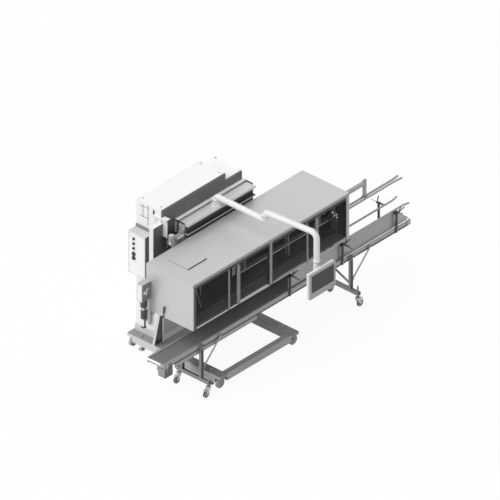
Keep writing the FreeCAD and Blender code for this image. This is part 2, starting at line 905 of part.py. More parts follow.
def hood_bay_post():
    """Folded post between the two bays, with the inner hinge pins of both doors."""
    left = bay_post_x - bay_post_width / 2
    right = bay_post_x + bay_post_width / 2
    near = hood_front + hood_sheet
    far = near + bay_post_depth
    post = block(left, right, near, far, hood_bottom, hood_top_z - hood_sheet)
    groove = block(left + hood_sheet, right - hood_sheet, near + hood_sheet, far + 1, hood_bottom - 1,
                   hood_top_z - 2 * hood_band)
    reach = door_gap + door_pin_length
    pins = [Part.makeCylinder(door_pin_radius, reach, Vec(right, door_hinge_y, door_hinge_z), X_AXIS),
            Part.makeCylinder(door_pin_radius, reach, Vec(left, door_hinge_y, door_hinge_z), Vec(-1, 0, 0))]
    return fused([post.cut(groove)] + pins)


def hatch_plate():
    near = hood_front + hatch_setback
    lid = block(hatch_left, hatch_right, near, near + hatch_depth, hood_top_z, hood_top_z + hatch_height)
    return softened(lid, Z_AXIS, hatch_edge)


# Guard doors

def door_span(side):
    """Left and right end of a door, between its end flange and the bay post."""
    if side == "left":
        return (hood_left + end_flange + door_gap, bay_post_x - bay_post_width / 2 - door_gap)
    return (bay_post_x + bay_post_width / 2 + door_gap, hood_right - end_flange - door_gap)


def door_pane(side):
    left, right = door_span(side)
    front = door_hinge_y - door_pane_thickness / 2
    return block(left, right, front, front + door_pane_thickness, hood_bottom + door_bottom_gap,
                 door_hinge_z - door_tube_radius + 1)


def door_frame(side):
    """Hinge tube along the top and the two upright stiles in front of the pane."""
    left, right = door_span(side)
    front = door_hinge_y - door_pane_thickness / 2
    tube = Part.makeCylinder(door_tube_radius, right - left, Vec(left, door_hinge_y, door_hinge_z), X_AXIS)
    bore = Part.makeCylinder(door_pin_radius + 0.06, right - left + 2, Vec(left - 1, door_hinge_y, door_hinge_z), X_AXIS)
    slot = door_pane(side)
    clip = block(left, right, front - 3, front + door_pane_thickness + 3, door_hinge_z - door_tube_radius - 14,
                 door_hinge_z - door_tube_radius + 1)
    bay_left = hood_left if side == "left" else bay_post_x
    stile_top = door_hinge_z - stile_top_drop
    pieces = [tube, clip]
    for offset, width in ((narrow_stile_offset, narrow_stile_width), (wide_stile_offset, wide_stile_width)):
        x = bay_left + offset
        pieces.append(block(x - width / 2, x + width / 2, front - stile_depth, front,
                            hood_bottom + door_bottom_gap, stile_top))
        pieces.append(block(x - width / 2, x + width / 2, front - stile_strap, front, stile_top,
                            door_hinge_z - door_tube_radius - 10))
    return fused(pieces).cut(slot).cut(bore)


# Sealing line

carrier_y = neck_rod_near_y + carrier_offset


def sealing_carrier():
    """Box beam along the hood with arms to its rear wall."""
    half = carrier_size / 2
    arm = carrier_size / 3
    beam = block(hood_left + carrier_inset_left, hood_right - carrier_inset_right, carrier_y - half, carrier_y + half,
                 carrier_z - half, carrier_z + half)
    pieces = [softened(beam, X_AXIS, carrier_edge)]
    for x in hanger_positions:
        pieces.append(block(x - arm, x + arm, carrier_y, hood_rear - hood_sheet, carrier_z - arm, carrier_z + arm))
    return fused(pieces)


def sealing_rails():
    """Pair of neck rails whose infeed ends turn up, hung from the carrier."""
    pieces = []
    right = hood_right - seal_rail_inset
    low = neck_rod_z + seal_rail_rise
    hanger_foot = carrier_z - carrier_size / 2
    bracket_top = hanger_foot + hanger_width / 2
    for y in (neck_rod_near_y, neck_rod_near_y + neck_rod_gap):
        path = [Vec(seal_rail_left, y, low), Vec(right - seal_rail_turn_up, y, low),
                Vec(right, y, low + seal_rail_slope), Vec(right, y, low + seal_rail_end_rise)]
        pieces.append(bent_rod(path, (seal_rail_bend, seal_rail_bend), seal_rail_radius))
        for x in hanger_positions:
            left_x, right_x = x - hanger_width / 2, x + hanger_width / 2
            pieces.append(block(left_x, right_x, y - hanger_half_depth, y + hanger_half_depth, low, bracket_top))
            pieces.append(block(left_x, right_x, y - hanger_half_depth, carrier_y - carrier_size / 2,
                                hanger_foot, bracket_top))
    return fused(pieces)


def sealing_rollers():
    rollers = []
    for x in roller_pair_positions:
        top = carrier_z - carrier_size / 2
        profile = [(0, neck_roller_z), (neck_roller_radius, neck_roller_z), (neck_roller_radius, neck_roller_z + 20),
                   (neck_roller_radius - neck_roller_groove, neck_roller_z + 24),
                   (neck_roller_radius - neck_roller_groove, neck_roller_z + 38),
                   (neck_roller_radius, neck_roller_z + 42), (neck_roller_radius, neck_roller_z + neck_roller_height),
                   (neck_roller_shaft_radius, neck_roller_z + neck_roller_height),
                   (neck_roller_shaft_radius, top), (0, top)]
        rollers.append(turned(profile, Vec(x, carrier_y - carrier_size / 2 + neck_roller_radius, 0)))
    return Part.makeCompound(rollers)


# Cabinet group

cabinet_rear = base_depth - cabinet_rear_inset
cabinet_right = base_length - cabinet_right_inset
annex_right = base_length + annex_overhang
body_front = platform_front + body_setback
body_right = base_length - body_right_inset
gusset_near = platform_front + gusset_setback
button_box_left = cabinet_left - button_box_reach
button_box_near = cabinet_rear - 1 - button_box_depth
tray_right = tray_left + tray_length
tray_top = hood_top_z + tray_rise


def cabinet_body():
    """Upper control cabinet and the deeper machine body below it, one welded housing."""
    upper = block(cabinet_left, cabinet_right, cabinet_front, cabinet_rear, body_top - 1, cabinet_top)
    lower = block(cabinet_left, body_right, body_front, cabinet_rear, rail_top + plinth_height, body_top)
    return fused([softened(upper, Z_AXIS, 3), softened(lower, Z_AXIS, 3)])


def cabinet_door():
    """Dark front panel of the cabinet and its annex, above the machine body."""
    left = cabinet_left + door_border
    step = cabinet_right - door_border
    right = annex_right - door_border
    low = body_top + 20
    outline = [(left, low), (right, low), (right, annex_top - door_border), (step, annex_top - door_border),
               (step, cabinet_top - door_border), (left, cabinet_top - door_border)]
    return outline_xz(outline, cabinet_front - door_panel, cabinet_front)


def cabinet_annex():
    annex = block(cabinet_right, annex_right, cabinet_front, cabinet_rear, annex_bottom, annex_top)
    return softened(annex, Z_AXIS, 3)


def cabinet_plinth():
    left = cabinet_left - plinth_step
    gusset_far = gusset_near + gusset_thickness
    outline = [(cabinet_left, body_front), (body_right, body_front), (body_right, cabinet_rear),
               (left, cabinet_rear), (left, gusset_far), (cabinet_left, gusset_far)]
    base = outline_xy(outline, rail_top, rail_top + plinth_height)
    joint_y = (gusset_far + cabinet_rear) / 2
    joint = block(left - 1, left + 3, joint_y - 3, joint_y + 3, rail_top - 1, rail_top + plinth_height + 1)
    return base.cut(joint)


def button_box():
    box = block(button_box_left, cabinet_left, button_box_near, cabinet_rear - 1, button_box_bottom, button_box_top)
    return softened(box, X_AXIS, 4)


def push_buttons():
    buttons = []
    rows = [(z, small_button_radius) for z in small_button_z] + [(z, large_button_radius) for z in large_button_z]
    for z, radius in rows:
        profile = [(0, 0), (radius, 0), (radius, 5), (radius - 3, 8), (radius - 4, 8), (radius - 4, 14),
                   (radius - 6, 16), (0, 16)]
        spot = Vec(button_box_left, button_box_near + button_offset, z)
        buttons.append(turned(profile, spot, Vec(-1, 0, 0)))
    return Part.makeCompound(buttons)


def side_column():
    """Upright beside the cabinet with the cheek plate that ties it to the tray beam."""
    near = cabinet_front - column_setback
    cheek_left = cabinet_left - cheek_sheet / 2
    cheek_near = cabinet_front - cheek_reach
    column = block(cabinet_left - column_reach, cabinet_left, near, near + column_depth, column_bottom, column_top)
    cheek = block(cheek_left, cheek_left + cheek_sheet, cheek_near, cabinet_front - door_panel, cheek_top - cheek_height,
                  cheek_top)
    flange_low = cheek_top - cheek_flange_sheet
    panel_face = cabinet_front - door_panel
    flange = block(cheek_left, cheek_left + cheek_flange, cheek_near, panel_face, flange_low, cheek_top)
    far = cabinet_front + cheek_far_reach
    side = block(cabinet_left - cheek_sheet, cabinet_left, panel_face - 1, far, cheek_top - cheek_height, cheek_top)
    side_flange = block(cabinet_left - cheek_far_flange, cabinet_left, cheek_near, far, flange_low, cheek_top)
    return fused([column, cheek, flange, side, side_flange])


def rear_tray():
    """Beam behind the hood: tray on top, recessed web, ledge, and the closed box below."""
    rear = cabinet_front - door_panel
    rim_foot = rear - tray_rim
    rim_top = tray_top + tray_rim_height
    tray_low = tray_top - tray_sheet
    web = tray_near + tray_recess
    ledge_lip = tray_near + tray_ledge_step
    groove_near = rim_foot - tray_groove
    groove_low = tray_top - tray_groove
    foot_z = hood_top_z - tray_foot_drop
    beam_bottom = hood_top_z - beam_drop
    ledge_top = hood_top_z + tray_ledge_rise
    ledge_low = ledge_top - tray_ledge_sheet
    points = [(tray_near, tray_top), (groove_near, tray_top), (groove_near, groove_low),
              (rim_foot, groove_low), (rim_foot, rim_top), (rear, rim_top),
              (rear, beam_bottom), (hood_rear, beam_bottom), (hood_rear, foot_z),
              (web, foot_z), (web, ledge_low), (ledge_lip, ledge_low), (ledge_lip, ledge_top),
              (web, ledge_top), (web, tray_low), (tray_near, tray_low)]
    return outline_yz(points, tray_left, tray_right)


def head_actuator():
    """Small cylinder and its bracket between the column and the tray beam."""
    y = hood_rear + actuator_setback
    left = tray_left - actuator_reach
    right = tray_left - actuator_bracket
    z = hood_top_z + actuator_rise
    low = z - actuator_base_drop
    step = actuator_step
    half = actuator_bracket_half
    fork_half = actuator_fork_half
    bracket = block(right, tray_left, y - half, y + half, low + step, z + actuator_bracket_rise)
    barrel = Part.makeCylinder(actuator_radius, actuator_length, Vec(left + step, y, z), X_AXIS)
    rod_start = Vec(left - actuator_rod_reach, y, z)
    rod = Part.makeCylinder(actuator_radius / 3, actuator_rod_reach + step, rod_start, X_AXIS)
    fork_left = left - actuator_rod_reach - step
    fork = block(fork_left, fork_left + actuator_fork_length, y - fork_half, y + fork_half, z - fork_half,
                 z + fork_half)
    base = block(left, right, y - actuator_radius, y + actuator_radius, low, z - actuator_radius)
    post = block(left + step, left + step + actuator_post_width, hood_rear, y - actuator_radius, low + step,
                 low + step + actuator_post_height)
    return fused([bracket, barrel, rod, fork, base, post])


def gusset_plate():
    points = [(0, rail_top), (cabinet_left, rail_top), (cabinet_left, gusset_top), (gusset_top_x, gusset_top)]
    return outline_xz(points, gusset_near, gusset_near + gusset_thickness)


def end_drive_box():
    """Gear case on the hood's left end with the motor under it and the foot motor on its post."""
    left = hood_left - drive_box_length
    far = hood_rear + drive_box_overhang
    near = far - drive_box_depth
    motor_x = left + drive_box_length / 2
    motor_y = far - drive_box_depth / 2
    box = softened(block(left, hood_left, near, far, drive_box_bottom, drive_box_bottom + drive_box_height), Y_AXIS, 4)
    cover = Part.makeCylinder(24, 16, Vec(motor_x + 20, near, drive_box_bottom + 0.6 * drive_box_height), Vec(0, -1, 0))
    motor_low = drive_box_bottom - drive_motor_drop
    motor = Part.makeCylinder(drive_motor_radius, drive_motor_drop, Vec(motor_x, motor_y, motor_low))
    post = block(motor_x - 15, motor_x + 15, motor_y - 15, motor_y + 15, drive_post_bottom, motor_low + 10)
    foot_motor = Part.makeCylinder(foot_motor_radius, foot_motor_height, Vec(motor_x, motor_y, foot_motor_bottom))
    return fused([box, cover, motor, post, foot_motor])


def air_unit():
    """Filter, regulator and shut-off on the body's left face."""
    middle = gusset_near + air_unit_reach
    outer = cabinet_left - air_plate
    pieces = [block(outer, cabinet_left, middle - air_plate_near, middle + air_plate_far, air_unit_z,
                    air_unit_z + air_plate_height)]
    for y, radius, low in ((middle - 50, 18, 110), (middle + 5, 20, 90)):
        x = outer - radius + bowl_sink
        pieces.append(Part.makeCylinder(radius, low + bowl_rise, Vec(x, y, air_unit_z - low)))
        cap = Vec(x, y, air_unit_z - low - bowl_cap_height)
        pieces.append(Part.makeCylinder(radius - 6, bowl_cap_height, cap))
    valve_x = outer - 10
    valve_y = middle + valve_offset
    bar_low = air_unit_z + bowl_rise
    valve_foot = Vec(valve_x, valve_y, air_unit_z - valve_drop)
    pieces.append(Part.makeCylinder(valve_radius, valve_height, valve_foot))
    pieces.append(block(valve_x - 4, valve_x + 4, valve_y - valve_bar_half, valve_y + valve_bar_half, bar_low,
                        bar_low + bowl_cap_height))
    return fused(pieces)


# Operator panel arm

arm_pivot_y = tray_near + arm_setback
arm_middle_y = arm_pivot_y - first_arm_reach
first_tube_z = tray_top + arm_height
second_tube_z = first_tube_z + arm_rise
first_joint_z = first_tube_z - arm_tube_radius - joint_step
second_joint_z = second_tube_z - arm_tube_radius - joint_step
joint_elbow = arm_tube_radius + joint_step - 2 * swivel_gap
elbow_x = arm_pivot_x + elbow_offset_x
elbow_y = arm_middle_y - second_arm_reach
panel_top = panel_bottom + panel_height
drop_bottom = panel_top + drop_clearance
panel_front = elbow_y - panel_offset


def arm_base():
    """Swivel base on the tray, with the spigot that the first tube turns on."""
    flange = swivel_flange_radius
    pin = spigot_arm_radius
    profile = [(0, tray_top), (flange, tray_top), (flange, tray_top + 10), (swivel_radius, tray_top + 16),
               (swivel_radius, first_joint_z), (pin, first_joint_z), (pin, first_joint_z + spigot_arm_height),
               (0, first_joint_z + spigot_arm_height)]
    return turned(profile, Vec(arm_pivot_x, arm_pivot_y, 0))


def swivel_collar(x, y, low):
    """Ring round a tube's end where two arms meet."""
    top = low + collar_height
    profile = [(0, low), (swivel_radius, low), (swivel_radius, top - collar_edge), (swivel_radius - collar_edge, top),
               (0, top)]
    return turned(profile, Vec(x, y, 0))


def swivel_bore(x, y, low):
    """Room for the spigot below a joint face."""
    return Part.makeCylinder(spigot_arm_radius + bore_play, spigot_arm_height + spigot_arm_play + 1, Vec(x, y, low - 1))


def arm_first_tube():
    """Tube bent down at the pivot and up at the middle joint, with a collar at either end."""
    low = first_joint_z + swivel_gap
    path = [Vec(arm_pivot_x, arm_pivot_y, low), Vec(arm_pivot_x, arm_pivot_y, first_tube_z),
            Vec(arm_pivot_x, arm_middle_y, first_tube_z), Vec(arm_pivot_x, arm_middle_y, second_joint_z)]
    tube = bent_rod(path, (joint_elbow, joint_elbow), arm_tube_radius)
    foot = swivel_collar(arm_pivot_x, arm_pivot_y, low)
    top = swivel_collar(arm_pivot_x, arm_middle_y, second_joint_z - collar_height)
    spigot = Part.makeCylinder(spigot_arm_radius, spigot_arm_height + 1, Vec(arm_pivot_x, arm_middle_y, second_joint_z - 1))
    return fused([tube, foot, top, spigot]).cut(swivel_bore(arm_pivot_x, arm_pivot_y, low))


def arm_second_tube():
    """Tube bent at the middle joint and round the elbow into the drop, with the panel's collar."""
    low = second_joint_z + swivel_gap
    path = [Vec(arm_pivot_x, arm_middle_y, low), Vec(arm_pivot_x, arm_middle_y, second_tube_z),
            Vec(elbow_x, elbow_y, second_tube_z), Vec(elbow_x, elbow_y, drop_bottom)]
    tube = bent_rod(path, (joint_elbow, elbow_radius), arm_tube_radius)
    head = swivel_collar(arm_pivot_x, arm_middle_y, low)
    rim = coupling_radius + 3
    end = drop_bottom - joint_step
    end_profile = [(0, end), (rim, end), (rim, drop_bottom + 10), (arm_tube_radius, drop_bottom + 16),
                   (0, drop_bottom + 16)]
    collar = turned(end_profile, Vec(elbow_x, elbow_y, 0))
    spigot = Part.makeCylinder(spigot_arm_radius, spigot_arm_height, Vec(elbow_x, elbow_y, end - spigot_arm_height + 2))
    return fused([head, tube, collar, spigot]).cut(swivel_bore(arm_pivot_x, arm_middle_y, low))


def operator_panel():
    """Panel housing, rear bracket and the coupling under the drop tube."""
    back = panel_front + panel_depth
    housing = block(elbow_x - panel_width / 2, elbow_x + panel_width / 2, panel_front, back, panel_bottom, panel_top)
    housing = softened(housing, Y_AXIS, panel_edge)
    left, right, low, high = screen_outline()
    recess = block(left, right, panel_front - 1, panel_front + screen_inset, low, high)
    top = drop_bottom - joint_step - swivel_gap
    bore = spigot_arm_radius + bore_play
    foot = panel_bottom + stalk_lift
    roof = top - 31
    coupling = turned([(bore, top), (coupling_radius, top), (coupling_radius, top - 26), (stalk_radius, top - 34),
                       (stalk_radius, foot), (0, foot), (0, roof), (bore, roof)], Vec(elbow_x, elbow_y, 0))
    bracket = block(elbow_x - panel_bracket_half, elbow_x + panel_bracket_half, back, elbow_y + panel_bracket_depth,
                    foot - panel_bracket_drop, foot + panel_bracket_rise)
    return fused([housing.cut(recess), coupling, bracket])


def screen_outline():
    left = elbow_x - panel_width / 2 + panel_bezel
    return (left, left + panel_width - 2 * panel_bezel, panel_bottom + panel_bezel + panel_chin, panel_top - panel_bezel)


def panel_screen():
    left, right, low, high = screen_outline()
    return block(left, right, panel_front + 1, panel_front + screen_inset, low, high)


def build_pieces():
    left_rail = base_side_rail()
    pieces = {
        "base_left_rail": left_rail,
        "base_right_rail": mirrored_x(left_rail, base_length / 2),
        "base_front_rail": base_front_rail(),
        "rear_platform": rear_platform(),
        "levelling_feet": levelling_feet(),
        "conveyor_side_rails": conveyor_side_rails(),
        "conveyor_belt": conveyor_belt(),
        "conveyor_bed": conveyor_bed(),
        "conveyor_rollers": conveyor_rollers(),
        "drive_gearbox": drive_gearbox(),
        "leg_frames": leg_frames(),
        "leg_braces": leg_braces(),
        "near_guide_plate": near_guide_plate(),
        "guide_rods": guide_rods(),
        "guide_struts": guide_struts(),
        "clamp_levers": clamp_levers(),
        "neck_guide_arm": neck_guide_arm(),
        "hood_top": hood_top(),
        "hood_left_end": hood_end(hood_left, 1),
        "hood_right_end": hood_right_end(),
        "hood_rear_wall": hood_rear_wall(),
        "hood_floor": hood_floor(),
        "hood_bay_post": hood_bay_post(),
        "hatch_plate": hatch_plate(),
        "sealing_carrier": sealing_carrier(),
        "sealing_rails": sealing_rails(),
        "sealing_rollers": sealing_rollers(),
        "cabinet_body": cabinet_body(),
        "cabinet_door": cabinet_door(),
        "cabinet_annex": cabinet_annex(),
        "cabinet_plinth": cabinet_plinth(),
        "button_box": button_box(),
        "push_buttons": push_buttons(),
        "side_column": side_column(),
        "rear_tray": rear_tray(),
        "head_actuator": head_actuator(),
        "gusset_plate": gusset_plate(),
        "end_drive_box": end_drive_box(),
        "air_unit": air_unit(),
        "arm_base": arm_base(),
        "arm_first_tube": arm_first_tube(),
        "arm_second_tube": arm_second_tube(),
        "operator_panel": operator_panel(),
        "panel_screen": panel_screen(),
    }
    for side in ("left", "right"):
        pieces[side + "_door_pane"] = door_pane(side)
        pieces[side + "_door_frame"] = door_frame(side)
    near_y, far_y = caster_columns()
    for leg, x, turn in (("left", leg_left_x, 0), ("right", leg_right_x, 180)):
        for row, y in (("near", near_y), ("far", far_y)):
            spot = FreeCAD.Placement(Vec(x, y, 0), FreeCAD.Rotation(Z_AXIS, turn))
            pieces[leg + "_" + row + "_caster_fork"] = caster_fork().transformed(spot.toMatrix())
            pieces[leg + "_" + row + "_caster_wheel"] = caster_wheel().transformed(spot.toMatrix())
    for side, x in (("left", transport_wheel_inset), ("right", base_length - transport_wheel_inset)):
        front_wheel = transport_wheel(x, wheel_recess_depth, Vec(0, -1, 0))
        rear_wheel = transport_wheel(x, base_depth - wheel_recess_depth, Y_AXIS)
        pieces["front_" + side + "_transport_wheel"] = front_wheel
        pieces["rear_" + side + "_transport_wheel"] = rear_wheel
    return pieces


def footprint_middle(pieces):
    box = FreeCAD.BoundBox()
    for shape in pieces.values():
        box.add(shape.BoundBox)
    return Vec((box.XMin + box.XMax) / 2, (box.YMin + box.YMax) / 2, box.ZMin)


def main():
    os.makedirs("parts", exist_ok=True)
    pieces = build_pieces()
    middle = footprint_middle(pieces)
    print("origin at", round(middle.x, 3), round(middle.y, 3), round(middle.z, 3))
    for name, shape in pieces.items():
        placed = shape.translated(middle * -1)
        placed.exportStep(os.path.join("parts", name + ".step"))
        print(name, "solids", len(placed.Solids), "valid", placed.isValid(), "volume", round(placed.Volume))


main()
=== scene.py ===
import bpy
import json
import math
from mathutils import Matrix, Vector


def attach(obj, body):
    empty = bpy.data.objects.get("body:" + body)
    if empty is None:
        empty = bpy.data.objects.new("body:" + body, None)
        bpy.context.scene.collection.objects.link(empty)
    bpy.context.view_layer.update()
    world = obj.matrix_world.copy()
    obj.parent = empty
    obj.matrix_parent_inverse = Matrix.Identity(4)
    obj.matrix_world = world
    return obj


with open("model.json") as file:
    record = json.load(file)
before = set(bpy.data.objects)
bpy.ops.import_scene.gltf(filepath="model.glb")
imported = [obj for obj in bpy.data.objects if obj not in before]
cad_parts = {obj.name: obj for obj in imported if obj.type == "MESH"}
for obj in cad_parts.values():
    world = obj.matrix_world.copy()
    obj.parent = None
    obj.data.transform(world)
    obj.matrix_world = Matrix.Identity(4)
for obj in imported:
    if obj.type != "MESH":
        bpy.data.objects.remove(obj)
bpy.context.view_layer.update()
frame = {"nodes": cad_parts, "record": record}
scene = bpy.context.scene
nodes = frame["nodes"]
print("frame loaded:", len(nodes), "nodes")


# Camera at the photo's viewing angle, a parallel view

viewSetup = {
    "azimuth": -47.87,            # degrees
    "elevation": 32.6,
    "frameWidth": 5.0,            # metres across the picture
    "lookAt": (0.993, 1.2185, 0.0),
    "distance": 14.0,
}


def makeCamera(v):
    a = math.radians(v["azimuth"])
    e = math.radians(v["elevation"])
    back = Vector((math.sin(a) * math.cos(e), -math.cos(a) * math.cos(e), math.sin(e)))
    bpy.ops.object.camera_add(location=Vector(v["lookAt"]) + back * v["distance"])
    cam = bpy.context.object
    cam.name = "photoCamera"
    cam.rotation_mode = "QUATERNION"
    cam.rotation_quaternion = (-back).to_track_quat("-Z", "Y")
    cam.data.type = "ORTHO"
    cam.data.ortho_scale = v["frameWidth"]
    cam.data.clip_end = 100
    scene.camera = cam


makeCamera(viewSetup)
print("camera ready")


# Stage: pale floor, white surroundings, soft light from the upper left

stageLook = {
    "floorSize": 60.0,
    "floorDrop": 0.0005,          # metres below the wheels, so that no two faces share a plane
    "floorTone": 0.86,
    "floorGlow": 0.93,            # share of plain white that the camera sees on the floor
    "ambient": 0.42,              # light from all round
    "keyStrength": 2.45,
    "keyAngle": 70.0,             # degrees, a wide source for soft shadows
    "keyFrom": (-0.60, 0.20, 0.80),
    "keyPlace": (-4, 2, 5),
}


def grey(value):
    return (value, value, value, 1)


def mathNode(tree, operation, a, b):
    node = tree.nodes.new("ShaderNodeMath")
    node.operation = operation
    for slot, value in enumerate((a, b)):
        if isinstance(value, (int, float)):
            node.inputs[slot].default_value = value
        else:
            tree.links.new(value, node.inputs[slot])
    return node.outputs[0]


def blendShaders(tree, factor, first, second, out):
    mix = tree.nodes.new("ShaderNodeMixShader")
    for slot, source in enumerate((factor, first, second)):
        tree.links.new(source, mix.inputs[slot])
    tree.links.new(mix.outputs[0], out.inputs["Surface"])


def seesBackdrop(tree):
    # 1 for what the camera sees directly, in a reflection or through a clear sheet
    rays = tree.nodes.new("ShaderNodeLightPath").outputs
    opaque = mathNode(tree, "MAXIMUM", rays["Is Camera Ray"], rays["Is Glossy Ray"])
    return mathNode(tree, "MAXIMUM", opaque, rays["Is Transmission Ray"])


def makeWorld(s):
    world = bpy.data.worlds.new("studioWorld")
    scene.world = world
    world.use_nodes = True
    tree = world.node_tree
    tree.nodes.clear()
    out = tree.nodes.new("ShaderNodeOutputWorld")
    soft = tree.nodes.new("ShaderNodeBackground")
    soft.inputs["Strength"].default_value = s["ambient"]
    white = tree.nodes.new("ShaderNodeBackground")
    for light in (soft, white):
        light.inputs["Color"].default_value = grey(1)
    blendShaders(tree, seesBackdrop(tree), soft.outputs[0], white.outputs[0], out)


def makeFloor(s):
    bpy.ops.mesh.primitive_plane_add(size=s["floorSize"], location=(0, 0, -s["floorDrop"]))
    floor = bpy.context.object
    floor.name = "studioFloor"
    mat = bpy.data.materials.new("studioFloor")
    mat.use_nodes = True
    tree = mat.node_tree
    tree.nodes.clear()
    out = tree.nodes.new("ShaderNodeOutputMaterial")
    diffuse = tree.nodes.new("ShaderNodeBsdfDiffuse")
    diffuse.inputs["Color"].default_value = grey(s["floorTone"])
    glow = tree.nodes.new("ShaderNodeEmission")
    glow.inputs["Color"].default_value = grey(1)
    share = mathNode(tree, "MULTIPLY", seesBackdrop(tree), s["floorGlow"])
    blendShaders(tree, share, diffuse.outputs[0], glow.outputs[0], out)
    floor.data.materials.append(mat)


def makeKeyLight(s):
    bpy.ops.object.light_add(type="SUN", location=s["keyPlace"])
    key = bpy.context.object
    key.name = "keyLight"
    key.data.energy = s["keyStrength"]
    key.data.angle = math.radians(s["keyAngle"])
    key.rotation_mode = "QUATERNION"
    key.rotation_quaternion = Vector(s["keyFrom"]).normalized().to_track_quat("Z", "Y")


makeWorld(stageLook)
makeFloor(stageLook)
makeKeyLight(stageLook)
scene.view_settings.view_transform = "Standard"
print("stage ready")


# Shader node groups

front, rearward = (0, -1, 0), (0, 1, 0)
leftward, rightward = (-1, 0, 0), (1, 0, 0)
upward, downward = (0, 0, 1), (0, 0, -1)

# stretch of the grain's noise: fine lines along one axis, or an even grain
alongX, alongY, alongZ = (6.0, 900.0, 900.0), (900.0, 6.0, 900.0), (900.0, 900.0, 6.0)
plating = (300.0, 300.0, 300.0)

finishOutputs = [("Color", "NodeSocketColor"), ("Roughness", "NodeSocketFloat"),
                 ("Height", "NodeSocketFloat")]


def newGroup(name, inputs, outputs):
    group = bpy.data.node_groups.new(name, "ShaderNodeTree")
    for socketName, kind, value in inputs:
        socket = group.interface.new_socket(name=socketName, in_out="INPUT", socket_type=kind)
        socket.default_value = value
    for socketName, kind in outputs:
        group.interface.new_socket(name=socketName, in_out="OUTPUT", socket_type=kind)
    return group, group.nodes.new("NodeGroupInput"), group.nodes.new("NodeGroupOutput")


def mixColor(tree, factor, a, b):
    node = tree.nodes.new("ShaderNodeMix")
    node.data_type = "RGBA"
    for slot, value in ((0, factor), (6, a), (7, b)):
        if hasattr(value, "node"):
            tree.links.new(value, node.inputs[slot])
        else:
            node.inputs[slot].default_value = value
    return node.outputs[2]


def noiseNode(tree, vector, scale, detail=3.0):
    node = tree.nodes.new("ShaderNodeTexNoise")
    node.inputs["Scale"].default_value = scale
    node.inputs["Detail"].default_value = detail
    node.inputs["Roughness"].default_value = 0.55
    tree.links.new(vector, node.inputs["Vector"])
    return node.outputs["Fac"]


def vectorNode(tree, operation, a, b):
    node = tree.nodes.new("ShaderNodeVectorMath")
    node.operation = operation
    tree.links.new(a, node.inputs[0])
    tree.links.new(b, node.inputs["Scale" if operation == "SCALE" else 1])
    return node.outputs["Value" if operation == "DOT_PRODUCT" else "Vector"]


def centredNoise(group, noise, amount):
    return mathNode(group, "MULTIPLY", mathNode(group, "SUBTRACT", noise, 0.5), amount)


def sendFinish(group, start, end, shift, fine, roughShare, height):
    level = mathNode(group, "ADD", 1.0, mathNode(group, "ADD", shift, fine))
    group.links.new(vectorNode(group, "SCALE", start.outputs["Color"], level), end.inputs["Color"])
    rough = mathNode(group, "ADD", start.outputs["Roughness"], mathNode(group, "MULTIPLY", shift, roughShare))
    group.links.new(rough, end.inputs["Roughness"])
    group.links.new(height, end.inputs["Height"])
    return group


def makeEdgeMask():
    # grows from 0 towards an edge, where the bevelled normal turns away from the face's own
    group, start, end = newGroup("edgeMask", [("Radius", "NodeSocketFloat", 0.002)],
                                 [("Mask", "NodeSocketFloat")])
    bevel = group.nodes.new("ShaderNodeBevel")
    bevel.samples = 4
    group.links.new(start.outputs["Radius"], bevel.inputs["Radius"])
    geometry = group.nodes.new("ShaderNodeNewGeometry")
    dot = vectorNode(group, "DOT_PRODUCT", bevel.outputs[0], geometry.outputs["Normal"])
    turned = mathNode(group, "SUBTRACT", 1.0, dot)
    group.links.new(mathNode(group, "MULTIPLY", turned, 3.0), end.inputs["Mask"])
    return group


def makeFinishVariation():
    # broad clouds and fine specks that shift colour and roughness a little
    group, start, end = newGroup(
        "finishVariation",
        [("Color", "NodeSocketColor", grey(0.8)), ("Clouds", "NodeSocketFloat", 0.04),
         ("Specks", "NodeSocketFloat", 0.03), ("Roughness", "NodeSocketFloat", 0.45)], finishOutputs)
    point = group.nodes.new("ShaderNodeTexCoord").outputs["Object"]
    specks = noiseNode(group, point, 420.0, 2.0)
    shift = centredNoise(group, noiseNode(group, point, 3.0), start.outputs["Clouds"])
    fine = centredNoise(group, specks, start.outputs["Specks"])
    return sendFinish(group, start, end, shift, fine, 1.5, specks)


def makeBrushedGrain():
    # fine lines along one direction: large numbers in Stretch squeeze the noise along that axis
    group, start, end = newGroup(
        "brushedGrain",
        [("Color", "NodeSocketColor", grey(0.6)), ("Stretch", "NodeSocketVector", alongX),
         ("Amount", "NodeSocketFloat", 0.08), ("Roughness", "NodeSocketFloat", 0.4)], finishOutputs)
    point = group.nodes.new("ShaderNodeTexCoord").outputs["Object"]
    lines = noiseNode(group, vectorNode(group, "MULTIPLY", point, start.outputs["Stretch"]), 1.0, 2.0)
    shift = centredNoise(group, lines, start.outputs["Amount"])
    drift = centredNoise(group, noiseNode(group, point, 2.2), 0.05)
    return sendFinish(group, start, end, shift, drift, 1.2, lines)


def makeFacingMask():
    # 1 on the faces whose own normal looks along Direction
    group, start, end = newGroup("facingMask", [("Direction", "NodeSocketVector", front)],
                                 [("Mask", "NodeSocketFloat")])
    normal = group.nodes.new("ShaderNodeTexCoord").outputs["Normal"]
    dot = vectorNode(group, "DOT_PRODUCT", normal, start.outputs["Direction"])
    group.links.new(mathNode(group, "GREATER_THAN", dot, 0.7), end.inputs["Mask"])
    return group


edgeMask = makeEdgeMask()
facingMask = makeFacingMask()
finishVariation = makeFinishVariation()
brushedGrain = makeBrushedGrain()


def placeGroup(tree, group, values):
    node = tree.nodes.new("ShaderNodeGroup")
    node.node_tree = group
    for name, value in values.items():
        node.inputs[name].default_value = value
    return node


def newMaterial(name):
    mat = bpy.data.materials.new(name)
    mat.use_nodes = True
    tree = mat.node_tree
    shader = tree.nodes["Principled BSDF"]
    return mat, tree, shader


